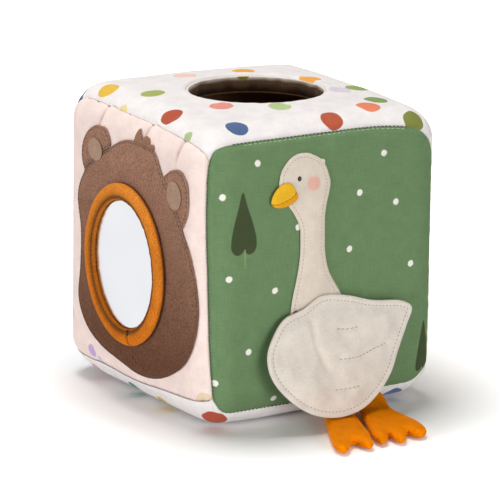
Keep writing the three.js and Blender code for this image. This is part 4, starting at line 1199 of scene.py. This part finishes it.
# Goose: a cream cotton head and neck sewn flat on the green panel, with a yellow beak and a dark
# embroidered eye. A satin stitch rims the neck, with a row of small brown stitches inside it.
GOOSE_THICKNESS = 1.2
BEAK_THICKNESS = 1.2
EYE_THICKNESS = 0.5
OVER_GOOSE = APPLIQUE_LIFT + GOOSE_THICKNESS + 0.3
NECK_SEAM = 1.25
NECK_RUNGS = [
    (55, -20.8, 10.5), (61, -20.6, 8.6), (67, -19.6, 5.4), (77, -17.4, -0.4), (87, -15.9, -2.8),
    (97, -15.8, -3.2), (102, -16.1, -3.2), (106, -17.7, -3.2), (110, -20, -2.7), (114, -23, -1.9),
    (119, -27, -0.6), (123, -28.2, -0.1), (127, -28, -1.1), (131, -26.9, -2.6), (134.5, -24.4, -5.2),
    (136.7, -21.8, -8.8), (138.2, -18.2, -12.6),
]
NECK_DARK_MARK = [(-21.6, 56.2), (-20.2, 57.8), (-18.4, 59.2)]
BEAK_OUTLINE = [
    (-34.1, 116.6), (-32.3, 114.3), (-28, 113.4), (-22.5, 114.6), (-18.9, 117.6), (-20.2, 121.6),
    (-23.4, 125.6), (-28.2, 125), (-32.3, 121.4),
]
MOUTH = [(-33.9, 116), (-31.4, 115.5), (-26.7, 116.7), (-22.6, 118.2), (-19.9, 120.8)]
BELOW_MOUTH = [(-16.0, 119.0), (-17.0, 110.0), (-35.5, 110.0)]
NOSTRILS = [(-25.6, 120.6), (-27.6, 119.2)]
EYE_CENTRE = (-17.8, 126.9)
EYE_RADIUS = 1.2
CHEEK_CENTRE = (-9.3, 123.6)
CHEEK_RADIUS = 3.8


def spot_distance(flat, centre, radius):
    return np.hypot(flat[:, 0] - centre[0], flat[:, 1] - centre[1]) - radius


on_front = face_of(GOOSE_SIDE)
sides = [(left, height) for height, left, _ in NECK_RUNGS]
sides += [(right, height) for height, _, right in reversed(NECK_RUNGS)]
upper = smooth_line(sides, 0.8, closed=False)
neck_line = np.concatenate([upper, np.linspace(upper[-1], upper[0], 40)[1:-1]])[::-1]
flat, _, edge = neck_cut = cut_piece(neck_line, 1.4, [0.3, 0.7, 1.2, 1.8, 2.4])
top = APPLIQUE_LIFT + GOOSE_THICKNESS * (0.45 + 0.55 * puffed(edge, 1.2))
top += 0.22 * soft_step((edge - 2.4) / 5) - 0.35 * bell((edge - NECK_SEAM) / 0.55)
top += 0.16 * rumple(flat[:, 0] / 7, flat[:, 1] / 12, 131.0) * soft_step(edge / 4)
goose_cotton = woven("goose_cotton", "DCD1C3", slub=0.05, prints=[("cheek", "E2B0A0", 1.2)])
laid_piece("goose_neck_cloth", "goose_head_and_neck", "box", on_front, neck_cut, top,
           APPLIQUE_LIFT + 0.2 * (1 - puffed(edge, 0.8)), goose_cotton,
           {"cheek": spot_distance(flat, CHEEK_CENTRE, CHEEK_RADIUS)})
flat, _, edge = beak_cut = cut_piece(smooth_line(BEAK_OUTLINE, 0.45), 0.8, [0.25, 0.6, 1.0])
mouth_line = smooth_line(MOUTH, 0.5, closed=False)
mouth = edge_distance(flat, mouth_line, closed=False) - 0.22
beak_prints = {
    "below": outline_distance(flat, np.concatenate([mouth_line, BELOW_MOUTH])),
    "mouth": np.minimum(mouth, FAR_OFF),
    "nostril": np.min([spot_distance(flat, place, 0.3) for place in NOSTRILS], axis=0)}
top = OVER_GOOSE + BEAK_THICKNESS * (0.25 + 0.75 * puffed(edge, 1.8)) - 0.2 * bell(np.maximum(mouth, 0) / 0.4)
beak_cotton = woven("beak_cotton", "EBB730", slub=0.07, prints=[
    ("below", "DE9C26", 0.5), ("mouth", "8A5A22", 0.25), ("nostril", "8A5A22", 0.2)])
bottom = OVER_GOOSE + 0.1 * (1 - puffed(edge, 0.8))
laid_piece("goose_beak_cloth", "goose_beak", "box", on_front, beak_cut, top, bottom, beak_cotton,
           beak_prints)
eye_cut = cut_piece(oval(EYE_CENTRE, 0.92 * EYE_RADIUS, 1.12 * EYE_RADIUS, 0.22), 0.35, [0.15])
laid_piece("goose_eye_stitching", "goose_eye", "box", on_front, eye_cut,
           OVER_GOOSE + EYE_THICKNESS * puffed(eye_cut[2], 1.0), OVER_GOOSE - 0.1,
           thread_material("eye_thread", "241C18"))
sew("neck_rim", "box", [stitch_line(on_front, upper[::-1], APPLIQUE_LIFT + 0.6)],
    thread_material("pale_thread", "EFE4D6"), pitch=0.42, length=1.5, turn=math.pi / 2, seed=7)
# A short close row of dark brown stitches where the neck meets the wing's corner.
dark_mark_line = smooth_line(NECK_DARK_MARK, 0.3, closed=False)
sew("neck_dark_mark", "box", [stitch_line(on_front, dark_mark_line, APPLIQUE_LIFT + GOOSE_THICKNESS)],
    thread_material("dark_mark_thread", "5C2F20"), pitch=0.5, length=1.6, thickness=0.25,
    turn=math.pi / 2, seed=9)
neck_inner = inset(neck_line, NECK_SEAM)
neck_inner = neck_inner[neck_inner[:, 1] > 60]
breaks = np.linalg.norm(np.diff(neck_inner, axis=0, append=neck_inner[:1]), axis=1)
neck_inner = np.roll(neck_inner, -int(np.argmax(breaks)) - 1, axis=0)
sew("neck_stitches", "box", [stitch_line(on_front, neck_inner, APPLIQUE_LIFT + 0.85)],
    thread_material("brown_thread", "A08A74"), pitch=1.9, length=1.1, thickness=0.13, seed=9)

# Wing: two layers of cream linen with a thin filling, sewn to the neck along its top edge. It hangs
# free below, is topstitched inside its rolled rim, and three curved seams draw its feathers.
WING_TOP_HEIGHT = 66.0
WING_LENGTH = 61.5
WING_LEAN_TOP = math.radians(5)
WING_LEAN_BOTTOM = math.radians(25)
WING_CLOTH_THICKNESS = 0.8
WING_LOFT = 1.5
WING_BEND = WING_LENGTH / (WING_LEAN_BOTTOM - WING_LEAN_TOP)
WING_EDGE_HALF = WING_CLOTH_THICKNESS + 0.15
WING_AXIS_Y = -74.483
WING_SEAM = 2.8
WING_OUTLINE = [
    (-5, -0.2), (-16, -5.6), (-27, -9), (-33.5, -16), (-38.5, -26), (-38, -36), (-32, -46.5), (-19, -57.5),
    (-4, -61.5), (10, -59.5), (22, -52.5), (31, -43.5), (37, -33), (43.5, -21.5), (47.4, -13), (43, -9.4),
    (24, -6.2), (10, -2),
]
FEATHERS = [
    [(2.6, -17.9), (7.8, -18.6), (13.1, -18.4)],
    [(1.8, -33.1), (8.5, -33.4), (15.0, -32.6), (21.1, -30.8), (28.8, -28.9)],
    [(-2.5, -47.9), (3.8, -48.2), (9.6, -47.8)],
]
WING_CREASE = [(-12.3, -13.0), (-11.2, -21.5), (-8.5, -30.0), (-6.0, -37.0)]


def on_wing(across, up, off):
    """A place on the wing, up being minus the length down it. Off is outward."""
    lean = WING_LEAN_TOP - up / WING_BEND
    y = WING_AXIS_Y - WING_BEND * (math.cos(WING_LEAN_TOP) - np.cos(lean)) - off * np.cos(lean)
    z = WING_TOP_HEIGHT - WING_BEND * (np.sin(lean) - math.sin(WING_LEAN_TOP)) + off * np.sin(lean)
    return np.stack([across, y, z], axis=1)


wing_line = smooth_line(WING_OUTLINE, 0.8)
flat, _, edge = wing_cut = cut_piece(wing_line, 1.3, [0.3, 0.7, 1.2, 1.8, 2.4, 3.0, 3.6])
feather_lines = [smooth_line(line, 0.6, closed=False) for line in FEATHERS]
feather = np.min([edge_distance(flat, line, closed=False) for line in feather_lines], axis=0)
crease = edge_distance(flat, smooth_line(WING_CREASE, 0.6, closed=False), closed=False)
half = WING_EDGE_HALF * (0.35 + 0.65 * puffed(edge, 1.4)) - 0.2 * bell((edge - WING_SEAM) / 0.6)
half += WING_LOFT * soft_step((edge - WING_SEAM) / 8)
waves = 0.65 * rumple(flat[:, 0] / 7, flat[:, 1] / 10, 141.0)
waves += 1.3 * rumple(flat[:, 0] / 15, flat[:, 1] / 19, 143.0)
inland = soft_step((edge - 3) / 5)
front = np.maximum(half - 0.6 * bell(feather / 1.2) - 0.8 * bell(crease / 1.8) + waves * inland, 0.5)
back = np.minimum(-half - 0.2 * rumple(*flat.T / 10, 145.0) * inland, -0.5)
wing_linen = woven("wing_linen", "E3DBD1", yarn=0.6, depth=0.08, slub=0.05)
for label, top, bottom in (
    ("front", front, np.maximum(front - WING_CLOTH_THICKNESS, 0.05)),
    ("back", np.minimum(back + WING_CLOTH_THICKNESS, -0.05), back),
):
    laid_piece(f"wing_{label}_linen", f"wing_{label}_cloth", "wing", on_wing, wing_cut, top, bottom,
               wing_linen)
stuffing_cut = cut_piece(inset(wing_line, 4.2), 2.4, [0.8, 1.8])
wadding = cellular("wadding", "F3F0EA", cell=0.7)
loft = WING_LOFT * soft_step(stuffing_cut[2] / 9) * 0.8 + 0.02
laid_piece("wing_stuffing", "wing_filling", "wing", on_wing, stuffing_cut, loft * 0.6, -loft, wadding)
wing_thread = thread_material("wing_thread", "8D7B6A")
sew("wing_topstitch", "wing", [closed_stitches(on_wing, wing_line, WING_SEAM, WING_EDGE_HALF - 0.22)],
    wing_thread, pitch=2.1, length=1.35, thickness=0.15, seed=11)
feather_rows = []
for line in feather_lines:
    at = [np.argmin(((flat - place) ** 2).sum(1)) for place in line]
    feather_rows.append(stitch_line(on_wing, line, front[at] + 0.1))
sew("feather_stitches", "wing", feather_rows, wing_thread, pitch=2.2, length=1.4,
    thickness=0.15, seed=13)

# Feet: two webbed feet of bright orange cotton, each an upper and a sole sewn round a thin filling.
# They hang on the bottom seam and lie out on the ground.
ANKLE_Y = -65.6
ANKLE_HEIGHT = 7.672
FOOT_REST_HEIGHT = 3.1
FOOT_DROP = 18.0
FOOT_HALF = 2.9
FOOT_CLOTH = 0.8
FEET = {
    "foot_left": (9.0, 20.0, [
        (-7.5, 0), (-7.5, 12), (-9.8, 28), (-11.6, 42), (-13.1, 56), (-12.9, 65), (-9.8, 68.8), (-6.6, 65),
        (-4.8, 60), (-2.2, 56.5), (0.8, 60.5), (4, 63.8), (6.6, 60.5), (6.5, 54), (8, 47.5), (7.6, 38),
        (7.9, 24), (7.5, 12), (7.5, 0)], 151.0),
    "foot_right": (26.5, 10.0, [
        (-7.5, 0), (-7.5, 13), (-11, 28), (-14.6, 41), (-16.9, 51), (-17.6, 58), (-15.9, 62), (-12.8, 60.2),
        (-10.6, 56.5), (-8.8, 53), (-8, 59), (-6, 62.8), (-3, 61.4), (-1, 57), (1.6, 52), (3.2, 55.5),
        (6.5, 57.6), (10, 56), (12, 51), (12.2, 41), (10, 29.5), (8.6, 18), (8, 0)], 161.0),
}
foot_cotton = woven("foot_cotton", "FF8A06", yarn=0.7, depth=0.1, slub=0.12, sheen=0.06)
for foot, (foot_x, foot_turn, outline, seed) in FEET.items():
    cos, sin = math.cos(math.radians(foot_turn)), math.sin(math.radians(foot_turn))

    def on_foot(sideways, back, off):
        """A place on the foot, back being minus the length along it."""
        along = -back
        down = np.clip(along / FOOT_DROP, 0, 1)
        rise = (ANKLE_HEIGHT - FOOT_REST_HEIGHT) * (1 - down) ** 2 * (1 + 2 * down)
        return np.stack([foot_x + sideways * cos - along * sin, ANKLE_Y - along * cos - sideways * sin * down,
                         FOOT_REST_HEIGHT + rise + off], axis=1)

    line = smooth_line([(x, -along) for x, along in outline], 0.7)
    line[:, 1] = np.minimum(line[:, 1], 0)
    line = line[np.linalg.norm(line - np.roll(line, 1, axis=0), axis=1) > 0.2]
    flat, _, edge = cut = cut_piece(line, 1.2, [0.3, 0.7, 1.2, 1.8, 2.5, 3.2])
    crinkle = 0.5 * rumple(flat[:, 0] / 2.6, flat[:, 1] / 3.4, seed) * np.exp(-edge / 2.2)
    crinkle += 0.45 * rumple(flat[:, 0] / 5.5, flat[:, 1] / 8, seed + 2) * soft_step(edge / 3)
    upper = np.minimum(0.15 + 2.6 * puffed(edge, 4.6) + crinkle * soft_step(edge), FOOT_HALF + 0.3)
    sole = -0.15 - 2.6 * puffed(edge, 3.6)
    for label, top, bottom in (
        ("upper", np.maximum(upper, 0.12), np.maximum(upper - FOOT_CLOTH, 0.02)),
        ("sole", np.minimum(sole + FOOT_CLOTH, -0.02), sole),
    ):
        laid_piece(f"{foot}_{label}_cotton", f"{foot}_{label}", foot, on_foot, cut, top, bottom, foot_cotton)
    stuffing = cut_piece(inset(line, 2.0), 2.2, [0.7])
    loft = 0.15 + 1.2 * puffed(stuffing[2], 4.0)
    laid_piece(foot + "_stuffing", foot + "_filling", foot, on_foot, stuffing, loft, -loft, wadding)

# Play cloths: three thin square cloths that a child pulls out through the hand hole. Each is folded
# lengthwise into four plies, then to and fro into a packet, and the packets lie in a pile inside.
CLOTH_WIDTH = 40.0
CLOTH_DEPTH = 44.0
CLOTH_PLY = 1.0
CLOTH_PITCH = 1.6
CLOTH_RUNS = 4
CLOTH_PLIES = 4
PLY_GAP = CLOTH_PLY / CLOTH_PLIES
CLOTH_X = 2.0
PACKET_LOW = 13.9
PACKET_STEP = 6.1
THREAD_HALF = 0.09


def folded(runs, half, pitch, low, steps, bends):
    """Points and normals of a line folded to and fro, and the length along it."""
    points, normals = [], []
    for run in range(runs):
        way = 1 if run % 2 == 0 else -1
        height = low + run * pitch
        for x in np.linspace(-half * way, half * way, steps):
            points.append((x, height))
            normals.append((0.0, way))
        for turned in np.linspace(0, math.pi, bends)[1:-1] if run < runs - 1 else ():
            beyond, above = pitch / 2 * math.sin(turned), pitch / 2 * (1 - math.cos(turned))
            points.append((way * (half + beyond), height + above))
            normals.append((-way * math.sin(turned), way * math.cos(turned)))
    return np.array(points), np.array(normals), walked_length(np.array(points))


run_line, normals, along_cloth = folded(
    CLOTH_RUNS, (CLOTH_WIDTH - CLOTH_PITCH - CLOTH_PLY) / 2, CLOTH_PITCH, CLOTH_PLY / 2, 20, 9)
ply_line, _, over_cloth = folded(CLOTH_PLIES, (CLOTH_DEPTH - PLY_GAP) / 2, PLY_GAP, -1.5 * PLY_GAP, 16, 5)
column, row = [v.ravel() for v in np.meshgrid(np.arange(len(run_line)), np.arange(len(ply_line)))]
for index, (colour, slot) in enumerate((
    ("CDA77A", "play_cloth_tan"), ("9DB08A", "play_cloth_sage"), ("D6A59A", "play_cloth_rose"),
)):
    layers = []
    for side in (THREAD_HALF, -THREAD_HALF):
        x, z = (run_line[column] + normals[column] * (ply_line[row, 1:] + side)).T
        layers.append(np.stack([CLOTH_X + x, ply_line[row, 0], PACKET_LOW + index * PACKET_STEP + z], axis=1))
    cloth = closed_cloth(slot + "_muslin", *layers, grid_faces(len(run_line), len(ply_line))[:, ::-1],
                         np.stack([along_cloth[column], over_cloth[row]], axis=1))
    muslin = woven(slot + "_muslin", colour, slub=0.1)
    dress(cloth, muslin, f"cloth_{index + 1}", f"play_cloth_{index + 1}")
